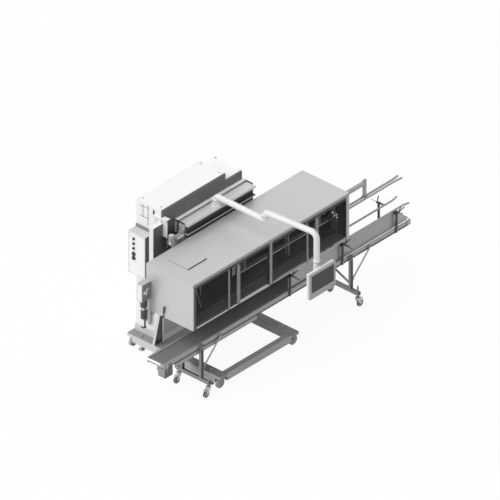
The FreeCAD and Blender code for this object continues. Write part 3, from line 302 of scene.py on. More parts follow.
def paintLightByFace(tree, color, paintedLightByFace):
    # paints light and shade into the faces that look along given directions: a shaded front, a lit side, the
    # dark inside of a hood sheet
    for direction, tone in paintedLightByFace:
        mask = placeGroup(tree, facingMask, {"Direction": direction})
        color = mixColor(tree, mask.outputs["Mask"], color, grey(tone))
    return color


def wornEdges(tree, color, radius, wear, wornTone):
    mask = placeGroup(tree, edgeMask, {"Radius": radius})
    share = mathNode(tree, "MULTIPLY", mask.outputs["Mask"], wear)
    return mixColor(tree, share, color, grey(min(1.0, wornTone)))


def sendSurface(tree, shader, color, finish, strength, depth):
    tree.links.new(color, shader.inputs["Base Color"])
    tree.links.new(finish.outputs["Roughness"], shader.inputs["Roughness"])
    bump = tree.nodes.new("ShaderNodeBump")
    bump.inputs["Strength"].default_value = strength
    bump.inputs["Distance"].default_value = depth
    tree.links.new(finish.outputs["Height"], bump.inputs["Height"])
    tree.links.new(bump.outputs[0], shader.inputs["Normal"])


def paintMaterial(name, tone, rough=0.42, clouds=0.05, wear=0.10, paintedLightByFace=()):
    mat, tree, shader = newMaterial(name)
    finish = placeGroup(tree, finishVariation, {"Color": grey(tone), "Clouds": clouds, "Roughness": rough})
    base = paintLightByFace(tree, finish.outputs["Color"], paintedLightByFace)
    color = wornEdges(tree, base, 0.0025, wear, tone * 1.25 + 0.02)
    sendSurface(tree, shader, color, finish, 0.12, 0.0004)
    return mat


def steelMaterial(name, tone, rough=0.38, metal=0.4, stretch=alongX, amount=0.10, paintedLightByFace=()):
    mat, tree, shader = newMaterial(name)
    grain = placeGroup(tree, brushedGrain,
                       {"Color": grey(tone), "Stretch": stretch, "Amount": amount, "Roughness": rough})
    base = paintLightByFace(tree, grain.outputs["Color"], paintedLightByFace)
    sendSurface(tree, shader, wornEdges(tree, base, 0.002, 0.2, tone * 1.3), grain, 0.08, 0.0002)
    shader.inputs["Metallic"].default_value = metal
    return mat


def rubberMaterial(name, tone, rough=0.7):
    mat, tree, shader = newMaterial(name)
    finish = placeGroup(tree, finishVariation,
                        {"Color": grey(tone), "Clouds": 0.15, "Specks": 0.25, "Roughness": rough})
    sendSurface(tree, shader, finish.outputs["Color"], finish, 0.3, 0.0004)
    return mat


def paneMaterial(name, tint):
    # clear sheet: light goes straight through, with a faint haze and a reflection at low angles
    mat, tree, shader = newMaterial(name)
    coords = tree.nodes.new("ShaderNodeTexCoord")
    haze = noiseNode(tree, coords.outputs["Object"], 5.0)
    rough = mathNode(tree, "ADD", 0.03, mathNode(tree, "MULTIPLY", haze, 0.08))
    tree.links.new(rough, shader.inputs["Roughness"])
    shader.inputs["Base Color"].default_value = grey(0.05)
    clear = tree.nodes.new("ShaderNodeBsdfTransparent")
    clear.inputs["Color"].default_value = grey(tint)
    share = mathNode(tree, "MULTIPLY", haze, 0.16)
    blendShaders(tree, share, clear.outputs[0], shader.outputs[0], tree.nodes["Material Output"])
    return mat


# Finishes: one for each material slot, then those of single pieces; a tone is a grey from 0 to 1

materials = {
    "white_paint": paintMaterial("whitePaint", 0.93),
    "light_grey_paint": paintMaterial("lightGreyPaint", 0.60),
    "frame_grey_paint": paintMaterial("frameGreyPaint", 0.22),
    "dark_grey_paint": paintMaterial("darkGreyPaint", 0.06),
    "stainless_sheet": steelMaterial("stainlessSheet", 0.56),
    "stainless_dark": steelMaterial("stainlessDark", 0.34),
    "zinc_steel": steelMaterial("zincSteel", 0.42, stretch=plating),
    "cast_aluminium": steelMaterial("castAluminium", 0.40, rough=0.5, stretch=plating),
    "tinted_pane": paneMaterial("tintedPane", 0.78),
    "screen_glass": paintMaterial("screenGlass", 0.018, rough=0.4, clouds=0.02, wear=0.0),
    "belt_rubber": rubberMaterial("beltRubber", 0.14),
    "wheel_rubber": rubberMaterial("wheelRubber", 0.28),
    "black_plastic": paintMaterial("blackPlastic", 0.03, rough=0.4),
    "panel_plastic": paintMaterial("panelPaint", 0.74),
}

# in these finishes the direction-and-tone pairs paint light and shade into faces by the way they look: dark
# front faces, the dark insides of the hood sheets and darker tops are painted shade, and the lighter left sides
# of the base rails and platform are painted light
nodeMaterials = {
    "hood_top": steelMaterial("hoodTopSheet", 0.56, paintedLightByFace=((downward, 0.05), (front, 0.30))),
    "hood_left_end": steelMaterial("hoodLeftSheet", 0.56, stretch=alongY, paintedLightByFace=((rightward, 0.07),)),
    "hood_right_end": steelMaterial("hoodRightSheet", 0.42, stretch=alongY, paintedLightByFace=((leftward, 0.16),)),
    "hood_rear_wall": steelMaterial("hoodRearSheet", 0.50, paintedLightByFace=((front, 0.05),)),
    "hood_floor": paintMaterial("hoodFloorPaint", 0.46),
    "hood_bay_post": steelMaterial("bayPostSheet", 0.36, stretch=alongZ, paintedLightByFace=((leftward, 0.14),)),
    "hatch_plate": steelMaterial("hatchSheet", 0.56, paintedLightByFace=((front, 0.04), (leftward, 0.42))),
    "left_door_frame": steelMaterial("doorFrameSheet", 0.21, stretch=alongZ),
    # the rails' low tone is painted shade: it darkens the far rail and hangers as the shade inside the hood
    # would
    "sealing_rails": steelMaterial("railSteelPaintedShade", 0.40),
    "sealing_rollers": steelMaterial("rollerSteel", 0.95, stretch=plating),
    "cabinet_body": paintMaterial("cabinetPaint", 0.90, paintedLightByFace=((front, 0.40), (leftward, 0.80))),
    # the front panel's dark tone is painted shade on the cabinet's shaded front face
    "cabinet_door": paintMaterial("cabinetFrontPaintedShade", 0.13),
    "side_column": paintMaterial("columnPaint", 0.84, paintedLightByFace=((front, 0.12), (leftward, 0.74))),
    "button_box": paintMaterial("buttonBoxPaint", 0.84, paintedLightByFace=((front, 0.10), (upward, 0.56))),
    "gusset_plate": paintMaterial("gussetPaint", 0.55, paintedLightByFace=((front, 0.03),)),
    "rear_tray": paintMaterial("trayPaint", 0.66, paintedLightByFace=((front, 0.07),)),
    "end_drive_box": paintMaterial("driveBoxPaint", 0.80, paintedLightByFace=((front, 0.18), (upward, 0.45))),
    "drive_gearbox": steelMaterial("gearboxCasting", 0.40, rough=0.5, stretch=plating,
                                   paintedLightByFace=((front, 0.13), (leftward, 0.30))),
    "rear_platform": paintMaterial("platformPaint", 0.24, paintedLightByFace=((leftward, 0.55),)),
    "base_left_rail": paintMaterial("leftRailPaint", 0.22, paintedLightByFace=((leftward, 0.42),)),
    "base_front_rail": paintMaterial("frontRailPaint", 0.24, paintedLightByFace=((front, 0.36),)),
    "operator_panel": paintMaterial("panelPaintFront", 0.84, paintedLightByFace=((front, 0.38), (leftward, 0.84))),
    "arm_base": paintMaterial("armPaint", 0.74),
    "leg_frames": steelMaterial("legSteel", 0.26, paintedLightByFace=((front, 0.05),)),
    "guide_struts": paintMaterial("strutPaint", 0.03),
}
nodeMaterials["right_door_frame"] = nodeMaterials["left_door_frame"]
for name in ("arm_first_tube", "arm_second_tube"):
    nodeMaterials[name] = nodeMaterials["arm_base"]
transportTyre = rubberMaterial("transportTyre", 0.36)
# the caster tyre's lighter side discs are painted light on the dark tread
casterTyre = paintMaterial("casterTyre", 0.07, rough=0.7, wear=0.0, paintedLightByFace=((front, 0.26), (rearward, 0.26)))
forkSteel = steelMaterial("forkSteel", 0.58, stretch=plating)
for leg in ("left", "right"):
    for row in ("near", "far"):
        nodeMaterials[leg + "_" + row + "_caster_wheel"] = casterTyre
        nodeMaterials[leg + "_" + row + "_caster_fork"] = forkSteel
for row in ("front", "rear"):
    for side in ("left", "right"):
        nodeMaterials[row + "_" + side + "_transport_wheel"] = transportTyre


def dressNodes():
    slotOf = {row["node"]: row["material_slot"] for row in frame["record"]["subparts"]}
    for name, obj in nodes.items():
        mat = nodeMaterials.get(name, materials[slotOf[name]])
        if not obj.data.materials:
            obj.data.materials.append(mat)
        for slot in obj.material_slots:
            slot.material = mat


dressNodes()
print("materials ready")


# Piece helpers: places are in the machine's layout, millimetres from the outer near-left floor corner

layout = {"originX": 1152.0, "originY": 318.5, "mm": 0.001}


def spot(x, y, z):
    mm = layout["mm"]
    return Vector(((x - layout["originX"]) * mm, (y - layout["originY"]) * mm, z * mm))


def settle(name):
    bpy.ops.object.transform_apply(location=True, rotation=True, scale=True)
    obj = bpy.context.object
    obj.name = name
    return obj


def softenEdges(obj, width, segments=2):
    mod = obj.modifiers.new("edge", "BEVEL")
    mod.width = width * layout["mm"]
    mod.segments = segments
    mod.limit_method = "ANGLE"
    bpy.ops.object.modifier_apply(modifier=mod.name)


def boxPiece(name, x0, x1, y0, y1, z0, z1, edge=0.0):
    low, high = spot(x0, y0, z0), spot(x1, y1, z1)
    bpy.ops.object.select_all(action="DESELECT")
    bpy.ops.mesh.primitive_cube_add(size=1, location=(low + high) / 2)
    bpy.context.object.scale = high - low
    obj = settle(name)
    if edge:
        softenEdges(obj, edge)
    return obj


def outward(axis):
    # unit vector of an axis such as "X" or "-X"
    sign = -1 if axis.startswith("-") else 1
    return Vector((axis[-1] == "X", axis[-1] == "Y", axis[-1] == "Z")) * sign


def cylinder(name, middle, radius, length, rotation, sides):
    bpy.ops.object.select_all(action="DESELECT")
    bpy.ops.mesh.primitive_cylinder_add(vertices=sides, radius=radius * layout["mm"], depth=length,
                                        location=middle, rotation=rotation)
    return settle(name)


def roundPiece(name, x, y, z, radius, length, axis="Z", sides=24, edge=0.0):
    # a cylinder that starts at the given place and runs along the axis
    turns = {"X": (0, math.pi / 2, 0), "Y": (-math.pi / 2, 0, 0), "Z": (0, 0, 0)}
    middle = spot(x, y, z) + outward(axis) * length * layout["mm"] / 2
    obj = cylinder(name, middle, radius, length * layout["mm"], turns[axis[-1]], sides)
    if edge:
        softenEdges(obj, edge)
    return obj


def slantedRod(name, start, end, radius, sides=24):
    a, b = spot(*start), spot(*end)
    turn = (b - a).to_track_quat("Z", "Y").to_euler()
    return cylinder(name, (a + b) / 2, radius, (b - a).length, turn, sides)


def joined(name, pieces):
    bpy.ops.object.select_all(action="DESELECT")
    for piece in pieces:
        piece.select_set(True)
    bpy.context.view_layer.objects.active = pieces[0]
    if len(pieces) > 1:
        bpy.ops.object.join()
    pieces[0].name = name
    return pieces[0]


def finished(name, pieces, mat, body="machine"):
    obj = joined(name, pieces)
    obj.data.materials.clear()
    obj.data.materials.append(mat)
    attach(obj, body)
    return obj


def hexBolt(x, y, z, axis, width=13.0, washer=True):
    # hexagon head along the axis, on a washer or at the washer's height
    washerDepth = 1.6
    parts = []
    if washer:
        parts.append(roundPiece("washer", x, y, z, width * 0.85, washerDepth, axis))
    dx, dy, dz = (washerDepth * c for c in outward(axis))
    parts.append(roundPiece("head", x + dx, y + dy, z + dz, width * 0.577, width * 0.5, axis, 6, 0.8))
    return joined("bolt", parts)


def buttonScrew(x, y, z, axis, radius=5.0):
    # low round head
    return roundPiece("screw", x, y, z, radius, radius * 0.55, axis, 16, radius * 0.3)


def rows(start, end, count):
    return [start + (end - start) * i / (count - 1) for i in range(count)]


seamMat = paintMaterial("seamShadow", 0.04, rough=0.7, wear=0.0)
brushMat = steelMaterial("slotBrush", 0.34, rough=0.8, metal=0.0, stretch=(700.0, 8.0, 700.0), amount=0.6)
boltMat = materials["zinc_steel"]
whiteMat = materials["white_paint"]
blackMat = materials["black_plastic"]
steelMat = materials["stainless_sheet"]
darkMat = materials["dark_grey_paint"]
lightMat = materials["light_grey_paint"]


# Base frame: foot nuts, rail bolts, weld lines and wheel caps

baseDetail = {"footX": (50, 1123), "footY": (166, 1100),
              "footNuts": ((168, 15), (60, 17)),       # height, radius
              "boltX": (28, 92, 1081, 1145), "boltY": (300, 560, 820), "boltZ": 160,
              "deckX": (60, 330, 600, 870, 1113), "deckFace": 1247, "deckZ": 118,
              "crossWeldX": ((3, 108), (1065, 1170)), "crossWeldY": (862.5, 865.5),
              "cornerWeldX": (110, 1063), "cornerWeldY": (2, 66), "weldZ": (159.2, 160.6),
              "wheelX": {"left": 45, "right": 1128}, "wheelZ": 62, "capRadius": 21,
              "wheelFaces": (("front", 27, "-Y"), ("rear", 1227, "Y"))}


def makeBaseDetail(d):
    bolts = []
    for x in d["footX"]:
        for y in d["footY"]:
            for z, radius in d["footNuts"]:
                bolts.append(roundPiece("nut", x, y, z, radius, 9, "Z", 6, 1.0))
    for x in d["boltX"]:
        for y in d["boltY"]:
            bolts.append(hexBolt(x, y, d["boltZ"], "Z"))
    for x in d["deckX"]:
        bolts.append(hexBolt(x, d["deckFace"], d["deckZ"], "Y", 11))
    finished("baseBolts", bolts, boltMat)
    seams = [boxPiece("weld", *xs, *d["crossWeldY"], *d["weldZ"]) for xs in d["crossWeldX"]]
    seams += [boxPiece("weld", x - 1.2, x + 1.2, *d["cornerWeldY"], *d["weldZ"]) for x in d["cornerWeldX"]]
    finished("baseSeams", seams, seamMat)
    for side, x in d["wheelX"].items():
        for row, y, axis in d["wheelFaces"]:
            ring = roundPiece("cap", x, y, d["wheelZ"], d["capRadius"], 2.5, axis, 32, 0.8)
            wheel = row + "_" + side + "_transport_wheel"
            finished(row + side.capitalize() + "WheelRing", [ring], boltMat, wheel)


makeBaseDetail(baseDetail)
print("base detail ready")


# Conveyor: rail screws, end bearings, a wear strip, a painted highlight on the near lip, a lighter plate of
# painted light on the belt's right end, painted shade in the rail slots and a nose strip

conveyorDetail = {"left": -680, "right": 2990, "lipHighlightLeft": 1990, "near": 137, "far": 363, "beltTop": 572,
                  "screwX": (-590, 2860, 16), "screwZ": 524, "rollerX": (-644, 2954), "rollerZ": 542,
                  "bearing": (24, 8), "bearingCap": (14, 4), "bearingBolts": (-17, 17),       # radius, depth
                  "beltEndLightPlate": (2846, 2992, 166, 344), "slotLeft": -535, "slotZ": (511, 529),
                  "slotRise": 1.2, "noseFace": -686, "noseStrip": (182, 363, 548, 574)}


def makeConveyorDetail(d):
    screws = []
    for x in rows(*d["screwX"]):
        screws.append(buttonScrew(x, d["near"], d["screwZ"], "-Y"))
        screws.append(buttonScrew(x, d["far"], d["screwZ"], "Y"))
    radius, depth = d["bearing"]
    z = d["rollerZ"]
    for x in d["rollerX"]:
        for y, axis, sign in ((d["near"], "-Y", -1), (d["far"], "Y", 1)):
            screws.append(roundPiece("bearing", x, y, z, radius, depth, axis, 32, 2.0))
            screws.append(roundPiece("cap", x, y + depth * sign, z, *d["bearingCap"], axis, 32, 1.0))
            for dx in d["bearingBolts"]:
                screws.append(hexBolt(x + dx, y + (depth - 2) * sign, z, axis, 7, False))
    finished("conveyorScrews", screws, boltMat)
    top = d["beltTop"] + 3
    strip = boxPiece("strip", d["left"] + 40, d["right"] - 40, d["far"] - 27, d["far"], top, top + 4, 0.8)
    finished("farWearStrip", [strip], materials["stainless_dark"])
    # the white strip on the near rail's lip is a painted highlight that keeps the lip bright where the guide
    # plate shades it
    lipHighlight = boxPiece("lipHighlight", d["lipHighlightLeft"], d["right"] - 2, d["near"], d["near"] + 17, top, top + 2, 0.8)
    finished("nearLipHighlight", [lipHighlight], whiteMat)
    # the lighter steel plate over the belt's right end is painted light, standing in for the lit end of the
    # belt
    plate = boxPiece("plate", *d["beltEndLightPlate"], top - 2, top + 0.5, 0.8)
    finished("beltEndLightPlate", [plate], materials["stainless_dark"])
    # the dark strips in the rail slots are painted shade along the lower side of each rail
    slots = [boxPiece("slot", d["slotLeft"], d["right"] - 2, y0, y1, *d["slotZ"])
             for y0, y1 in ((d["near"] - d["slotRise"], d["near"]), (d["far"], d["far"] + d["slotRise"]))]
    finished("railSlotShade", slots, darkMat)
    strip = boxPiece("strip", d["noseFace"] - d["slotRise"], d["noseFace"], *d["noseStrip"], 0.4)
    finished("noseStrip", [strip], whiteMat)


makeConveyorDetail(conveyorDetail)


# Legs and casters: flange bolts, stem nuts, brace bolts, axle nuts on the forks and hubs on the wheels

legDetail = {"x": (-145, 2083), "trail": (-32, 32), "nearY": 27, "farY": 425,
             "postFaces": ((107, "-Y"), (393, "Y")), "flangeZ": (524, 550),
             "stemNuts": ((185, 12, 9), (131, 11, 8)),       # height, radius, depth
             "braceFaces": ((116, "-Y"), (384, "Y")), "braceX": 34, "braceZ": 274, "axleZ": 40}


def makeLegDetail(d):
    bolts = []
    for x in d["x"]:
        for y, axis in d["postFaces"]:
            for z in d["flangeZ"]:
                bolts.append(hexBolt(x, y, z, axis, 11))
        for y in (d["nearY"], d["farY"]):
            for z, radius, depth in d["stemNuts"]:
                bolts.append(roundPiece("nut", x, y, z, radius, depth, "Z", 6, 1.0))
        for y, axis in d["braceFaces"]:
            bolts.append(hexBolt(x + d["braceX"], y, d["braceZ"], axis, 8, False))
    finished("legBolts", bolts, boltMat)
    sides = ((-1, "-Y"), (1, "Y"))
    for leg, x, trail in zip(("left", "right"), d["x"], d["trail"]):
        for row, y in (("near", d["nearY"]), ("far", d["farY"])):
            nuts = [roundPiece("nut", x + trail, y + sign * 19, d["axleZ"], 8, 5, axis, 6, 0.8)
                    for sign, axis in sides]
            finished(leg + row.capitalize() + "AxleNuts", nuts, boltMat, leg + "_" + row + "_fork")
            hub = [roundPiece("hub", x + trail, y + sign * 9.6, d["axleZ"], 11, 3.2, axis, 24, 0.8)
                   for sign, axis in sides]
            finished(leg + row.capitalize() + "WheelHub", hub, lightMat, leg + "_" + row + "_wheel")


makeLegDetail(legDetail)
print("conveyor detail ready")


# Guides: strut bolts, arm bolts, clamp rods and lever grips

guideDetail = {"strutX": (1186, 1969, 2773), "nearFace": 123, "farFace": 377, "boltZ": (524, 548),
               "armX": 2450, "armFace": 259, "armZ": (1050, 1075, 1215),
               "nearRods": (1188, 1971), "farRods": (2795,), "nearClamp": (111, 757), "farClamp": (389, 745),
               "rodReach": 112, "gripY": 104, "gripStart": (4, 762), "gripEnd": (88, 788)}


def makeGuideDetail(d):
    bolts = []
    for x in d["strutX"]:
        for z in d["boltZ"]:
            bolts.append(hexBolt(x, d["nearFace"], z, "-Y", 10))
            bolts.append(hexBolt(x, d["farFace"], z, "Y", 10))
    for z in d["armZ"]:
        bolts.append(hexBolt(d["armX"], d["armFace"], z, "-Y", 10))
    finished("guideBolts", bolts, boltMat)
    rods = [roundPiece("rod", x, *d["nearClamp"], 4.5, d["rodReach"], "-Y", 20, 1.5) for x in d["nearRods"]]
    (dx0, z0), (dx1, z1) = d["gripStart"], d["gripEnd"]
    y = d["gripY"]
    rods += [slantedRod("grip", (x + dx0, y, z0), (x + dx1, y, z1), 5.5) for x in d["strutX"]]
    finished("clampRods", rods, blackMat)
    rods = [roundPiece("rod", x, *d["farClamp"], 4.5, d["rodReach"], "Y", 20, 1.5) for x in d["farRods"]]
    finished("farClampRods", rods, boltMat)


makeGuideDetail(guideDetail)


# Hood: hatch screws, wall screws, a painted shadow line under the hatch's front edge and the seam under the top
# sheet

hoodDetail = {"left": -320, "right": 2010, "front": 77, "rear": 707, "top": 1369, "hatchX": (-135, 145),
              "hatchY": (310, 578), "hatchTop": 1381, "rearScrewZ": 1352, "frontScrewZ": 1353,
              "endScrewZ": (850, 1340), "seamZ": (1367.4, 1368.4)}


def makeHoodDetail(d):
    x0, x1 = d["hatchX"]
    y0, y1 = d["hatchY"]
    screws = []
    for x in (x0 + 16, (x0 + x1) / 2, x1 - 16):
        for y in (y0 + 16, y1 - 16):
            screws.append(buttonScrew(x, y, d["hatchTop"], "Z", 4.5))
    for x in rows(d["left"] + 60, d["right"] - 60, 12):
        screws.append(buttonScrew(x, d["rear"], d["rearScrewZ"], "Y", 4))
        screws.append(buttonScrew(x, d["front"], d["frontScrewZ"], "-Y", 3))
    for y in rows(d["front"] + 50, d["rear"] - 50, 6):
        for z in d["endScrewZ"]:
            screws.append(buttonScrew(d["left"], y, z, "-X", 3.5))
            screws.append(buttonScrew(d["right"], y, z, "X", 3.5))
    finished("hoodScrews", screws, boltMat)
    # the dark sheet under the hatch shows as a painted shadow line along its front edge
    hatchShadow = boxPiece("hatchShadow", x0, x1, y0 - 1.5, y1, d["top"], d["top"] + 1.2)
    finished("hatchEdgeShadow", [hatchShadow], seamMat)
    seam = boxPiece("seam", d["left"] + 2, d["right"] - 2, d["front"] - 0.4, d["front"], *d["seamZ"])
    finished("hoodSeams", [seam], seamMat)


makeHoodDetail(hoodDetail)


# Doors: seals on the hood, a lift bracket on the left door, lower edges, and black hinge covers that paint in
# the shade under the hood's front band

doorDetail = {"hingeY": 84, "hingeZ": 1328, "sleeve": 7.5, "clipY": (76.5, 79), "clipZ": (1305, 1322),
              "spans": {"left": (-264, 815), "right": (881, 1949)}, "edgeZ": (833, 842), "paneFront": 82,
              "edges": {"left": (6, whiteMat), "right": (1.5, steelMat)},       # depth, finish
              "seals": ((-303, -272), (1962, 1968), (829, 834), (862, 867)),
              "sealY": (hoodDetail["front"] - 2, hoodDetail["front"]),
              "sealZ": (830, 1334), "bracketX": ((262, 272), (289, 299)), "bracketZ": (1212, 1316),
              "bracketFront": 66}


def makeDoorDetail(d):
    seals = [boxPiece("seal", *xs, *d["sealY"], *d["sealZ"], 0.6) for xs in d["seals"]]
    finished("doorSeals", seals, blackMat)
    low, high = d["bracketZ"]
    face = d["paneFront"]
    bars = [boxPiece("bar", *xs, d["bracketFront"], face, low, high, 1.5) for xs in d["bracketX"]]
    x0, x1 = d["bracketX"][0][1], d["bracketX"][1][0]
    bars += [boxPiece("web", x0, x1, face - 4, face, low + 20, high - 20),
             roundPiece("pin", x0 - 14, d["bracketFront"] + 6, low + 14, 4, x1 - x0 + 28, "X")]
    finished("doorBracket", bars, nodeMaterials["left_door_frame"], "left_guard_door")
    for side, (left, right) in d["spans"].items():
        depth, mat = d["edges"][side]
        edge = boxPiece("edge", left, right, face - depth, face, *d["edgeZ"], 0.5)
        finished(side + "DoorEdge", [edge], mat, side + "_guard_door")
        # the black sleeve on the hinge tube and the black strip on the clip are painted shade under the hood's
        # front band
        cover = [roundPiece("sleeve", left, d["hingeY"], d["hingeZ"], d["sleeve"], right - left, "X", 32),
                 boxPiece("strip", left, right, *d["clipY"], *d["clipZ"], 0.5)]
        finished(side + "DoorHingeShade", cover, blackMat, side + "_guard_door")


makeDoorDetail(doorDetail)


# Sealing line: guide posts, a light sleeve that paints a highlight on the near rail, outfeed rods with their
# guide, end brushes

sealingDetail = {"railY": (250, 288), "postX": 1303, "postZ": (886, 1021), "tieZ": (1004, 1014),
                 "highlightX": (574, 1885), "highlightCentre": (250, 1029), "highlightRadius": 10.8,
                 "rodX": (-66, 24), "rodLow": 1010, "rodLength": 210,
                 "clipZ": (1196, 1232), "carrierFront": 300,
                 "guideTop": (-77, 1149), "guideFoot": (7, 883), "guideY": 262, "armZ": (1110, 1122),
                 "brushX": (1998, 2005), "brushY": ((224, 268.5), (269.5, 314)), "brushZ": (842, 1002)}


def makeSealingDetail(d):
    x = d["postX"]
    near, far = d["railY"]
    posts = [boxPiece("post", x - 9, x + 9, y - 3, y + 3, *d["postZ"], 1.0) for y in d["railY"]]
    posts.append(boxPiece("tie", x - 6, x + 6, near + 3, far - 3, *d["tieZ"]))
    finished("neckGuidePosts", posts, steelMat)
    # the light sleeve on the near rail is a painted highlight that makes only the near rail bright
    x0, x1 = d["highlightX"]
    wear = roundPiece("wear", x0, *d["highlightCentre"], d["highlightRadius"], x1 - x0, "X", 32, 0.3)
    finished("railHighlightSleeve", [wear], steelMaterial("railHighlightSteel", 0.92))
    rods = []
    face = d["carrierFront"]
    for x in d["rodX"]:
        rods.append(roundPiece("rod", x, face - 10, d["rodLow"], 8, d["rodLength"], "Z"))
        rods.append(boxPiece("clip", x - 14, x + 14, face - 20, face + 1, *d["clipZ"], 1.5))
    finished("outfeedRods", rods, steelMat)
    (topX, topZ), (footX, footZ) = d["guideTop"], d["guideFoot"]
    length = math.hypot(footX - topX, topZ - footZ)
    tilt = math.atan2(footX - topX, topZ - footZ)
    guide = boxPiece("guide", -6, 6, -2, 2, -length / 2, length / 2, 1.0)
    bpy.ops.transform.rotate(value=tilt, orient_axis="Y", center_override=spot(0, 0, 0))
    middle = spot((topX + footX) / 2, d["guideY"], (topZ + footZ) / 2)
    bpy.ops.transform.translate(value=middle - spot(0, 0, 0))
    bpy.ops.object.transform_apply(location=True, rotation=True, scale=True)
    x = d["rodX"][0]
    arm = boxPiece("arm", x - 4, x + 4, d["guideY"], face - 14, *d["armZ"])
    finished("outfeedGuide", [guide, arm], steelMat)
    brushes = [boxPiece("brush", *d["brushX"], *ys, *d["brushZ"]) for ys in d["brushY"]]
    finished("endBrushes", brushes, brushMat)


makeSealingDetail(sealingDetail)
print("hood detail ready")


# Neck slot: a brush on either side closes the gap between the floor sheets

brushDetail = {"x": (-314, 2004), "middle": 269, "reach": 35, "gap": 0.5, "z": (833, 840)}


def makeSlotBrushes(d):
    near = boxPiece("brush", *d["x"], d["middle"] - d["reach"], d["middle"] - d["gap"], *d["z"])
    far = boxPiece("brush", *d["x"], d["middle"] + d["gap"], d["middle"] + d["reach"], *d["z"])
    finished("slotBrushes", [near, far], brushMat)


makeSlotBrushes(brushDetail)


# Cabinet group: panel seams, vents, doors at the rear, hinges, locks, cover screws, lifting plugs

cabinetDetail = {"left": 120, "right": 1077, "rear": 1240, "top": 1700, "annexRight": 1324, "annexTop": 1620,
                 "bodyRight": 1060, "sideSeams": ((1148, 1520, 1668), (1079, 1454, 1682)),
                 "sideLines": (1650, 1528), "sideLineY": (1079, 1198), "sideOpening": (990, 1014, 1600, 1661),
                 "doors": ((140, 594, 262, 1680), (602, 1060, 262, 1680), (1090, 1308, 720, 1600)),
                 "annexPanel": (925, 1220, 720, 1600), "bodyPanel": (892, 1220, 262, 860),
                 "ventX": ((240, 494), (702, 960)), "ventZ": ((1480, 1600), (300, 420)),
                 "annexVent": (985, 1160, 1420, 1560), "ventPitch": 14, "ribZ": (4, 9), "ribRise": 3.0,
                 "locks": ((566, 1100), (630, 1100), (566, 600), (630, 600), (1112, 1160)),
                 "hinges": {146: (420, 1000, 1560), 1052: (420, 1000, 1560), 1302: (1000, 1560)},
                 "hingeHeight": 70, "screwX": (150, 600, 1050, 1300), "screwY": (930, 1215),
                 "plugX": (170, 1030), "plugY": (950, 1195)}


def faceBox(plane, value, rise, a0, a1, z0, z1):
    # a box standing on an upright face; plane is the face's axis with its outward sign
    lo, hi = sorted((value, value + sum(outward(plane)) * rise))
    if plane[-1] == "X":
        return boxPiece("strip", lo, hi, a0, a1, z0, z1)
    return boxPiece("strip", a0, a1, lo, hi, z0, z1)


def frameLines(plane, value, a0, a1, b0, b1, wide=2.0):
    # four thin seam strips round a rectangle on a face
    strips = ((a0, a1, b0, b0 + wide), (a0, a1, b1 - wide, b1),
              (a0, a0 + wide, b0, b1), (a1 - wide, a1, b0, b1))
    return [faceBox(plane, value, 0.5, *strip) for strip in strips]


def louvres(d, plane, value, a0, a1, b0, b1):
    # level ribs with a dark slot under each
    ribs, slots = [], []
    low, high = d["ribZ"]
    z = b0
    while z + high <= b1:
        ribs.append(faceBox(plane, value, d["ribRise"], a0, a1, z + low, z + high))
        slots.append(faceBox(plane, value, 0.6, a0, a1, z, z + low))
        z += d["ventPitch"]
    return ribs, slots


def makeCabinetDetail(d):
    left, rear = d["left"], d["rear"]
    seams = [boxPiece("seam", left - 0.6, left, y - 3.5, y + 3.5, low, high)
             for y, low, high in d["sideSeams"]]
    seams += [boxPiece("seam", left - 0.6, left, *d["sideLineY"], z - 2.5, z + 2.5) for z in d["sideLines"]]
    seams.append(boxPiece("seam", left - 1.0, left, *d["sideOpening"]))
    for door in d["doors"]:
        seams += frameLines("Y", rear, *door)
    seams += frameLines("X", d["annexRight"], *d["annexPanel"])
    seams += frameLines("X", d["bodyRight"], *d["bodyPanel"])
    finished("cabinetSeams", seams, seamMat)
    vents = [louvres(d, "Y", rear, *xs, *zs) for xs in d["ventX"] for zs in d["ventZ"]]
    vents.append(louvres(d, "X", d["annexRight"], *d["annexVent"]))
    finished("ventRibs", [rib for ribs, slots in vents for rib in ribs], whiteMat)
    finished("ventSlots", [slot for ribs, slots in vents for slot in slots], seamMat)
    locks, hinges = [], []
    for x, z in d["locks"]:
        locks.append(roundPiece("lock", x, rear, z, 13, 4, "Y", 32, 1.0))
        locks.append(boxPiece("lockBar", x - 2, x + 2, rear + 4, rear + 7, z - 9, z + 9, 0.8))
    for x, heights in d["hinges"].items():
        for z in heights:
            hinges.append(roundPiece("hinge", x, rear + 5, z, 6, d["hingeHeight"], "Z", 20, 1.0))
            hinges.append(boxPiece("leaf", x - 16, x + 16, rear, rear + 2.5, z, z + d["hingeHeight"], 0.6))
    finished("cabinetLocks", locks, blackMat)
    finished("cabinetHinges", hinges, boltMat)
    screws = [buttonScrew(x, y, d["annexTop"] if x > d["right"] else d["top"], "Z", 5)
              for x in d["screwX"] for y in d["screwY"]]
    finished("cabinetScrews", screws, boltMat)
    plugs = [roundPiece("plug", x, y, d["top"], 12, 5, "Z", 24, 1.0) for x in d["plugX"] for y in d["plugY"]]
    finished("liftingPlugs", plugs, lightMat)


makeCabinetDetail(cabinetDetail)
print("cabinet detail ready")


# Button box: lid seam, screws, button rims, two indicator lamps and a rail behind its top

buttonDetail = {"face": -6, "near": 1007, "far": 1239, "bottom": 895, "top": 1384, "buttonY": 1158,
                "smallZ": (1317, 1260, 1204), "smallRim": 18, "largeZ": (1140, 1090), "largeRim": 25,
                "lamps": ((1212, 1330, 7, 6, 1.5), (1216, 985, 8, 4, 1.0)),       # y, z, radius, depth, edge
                "railX": (106, 120), "railHeight": 30}


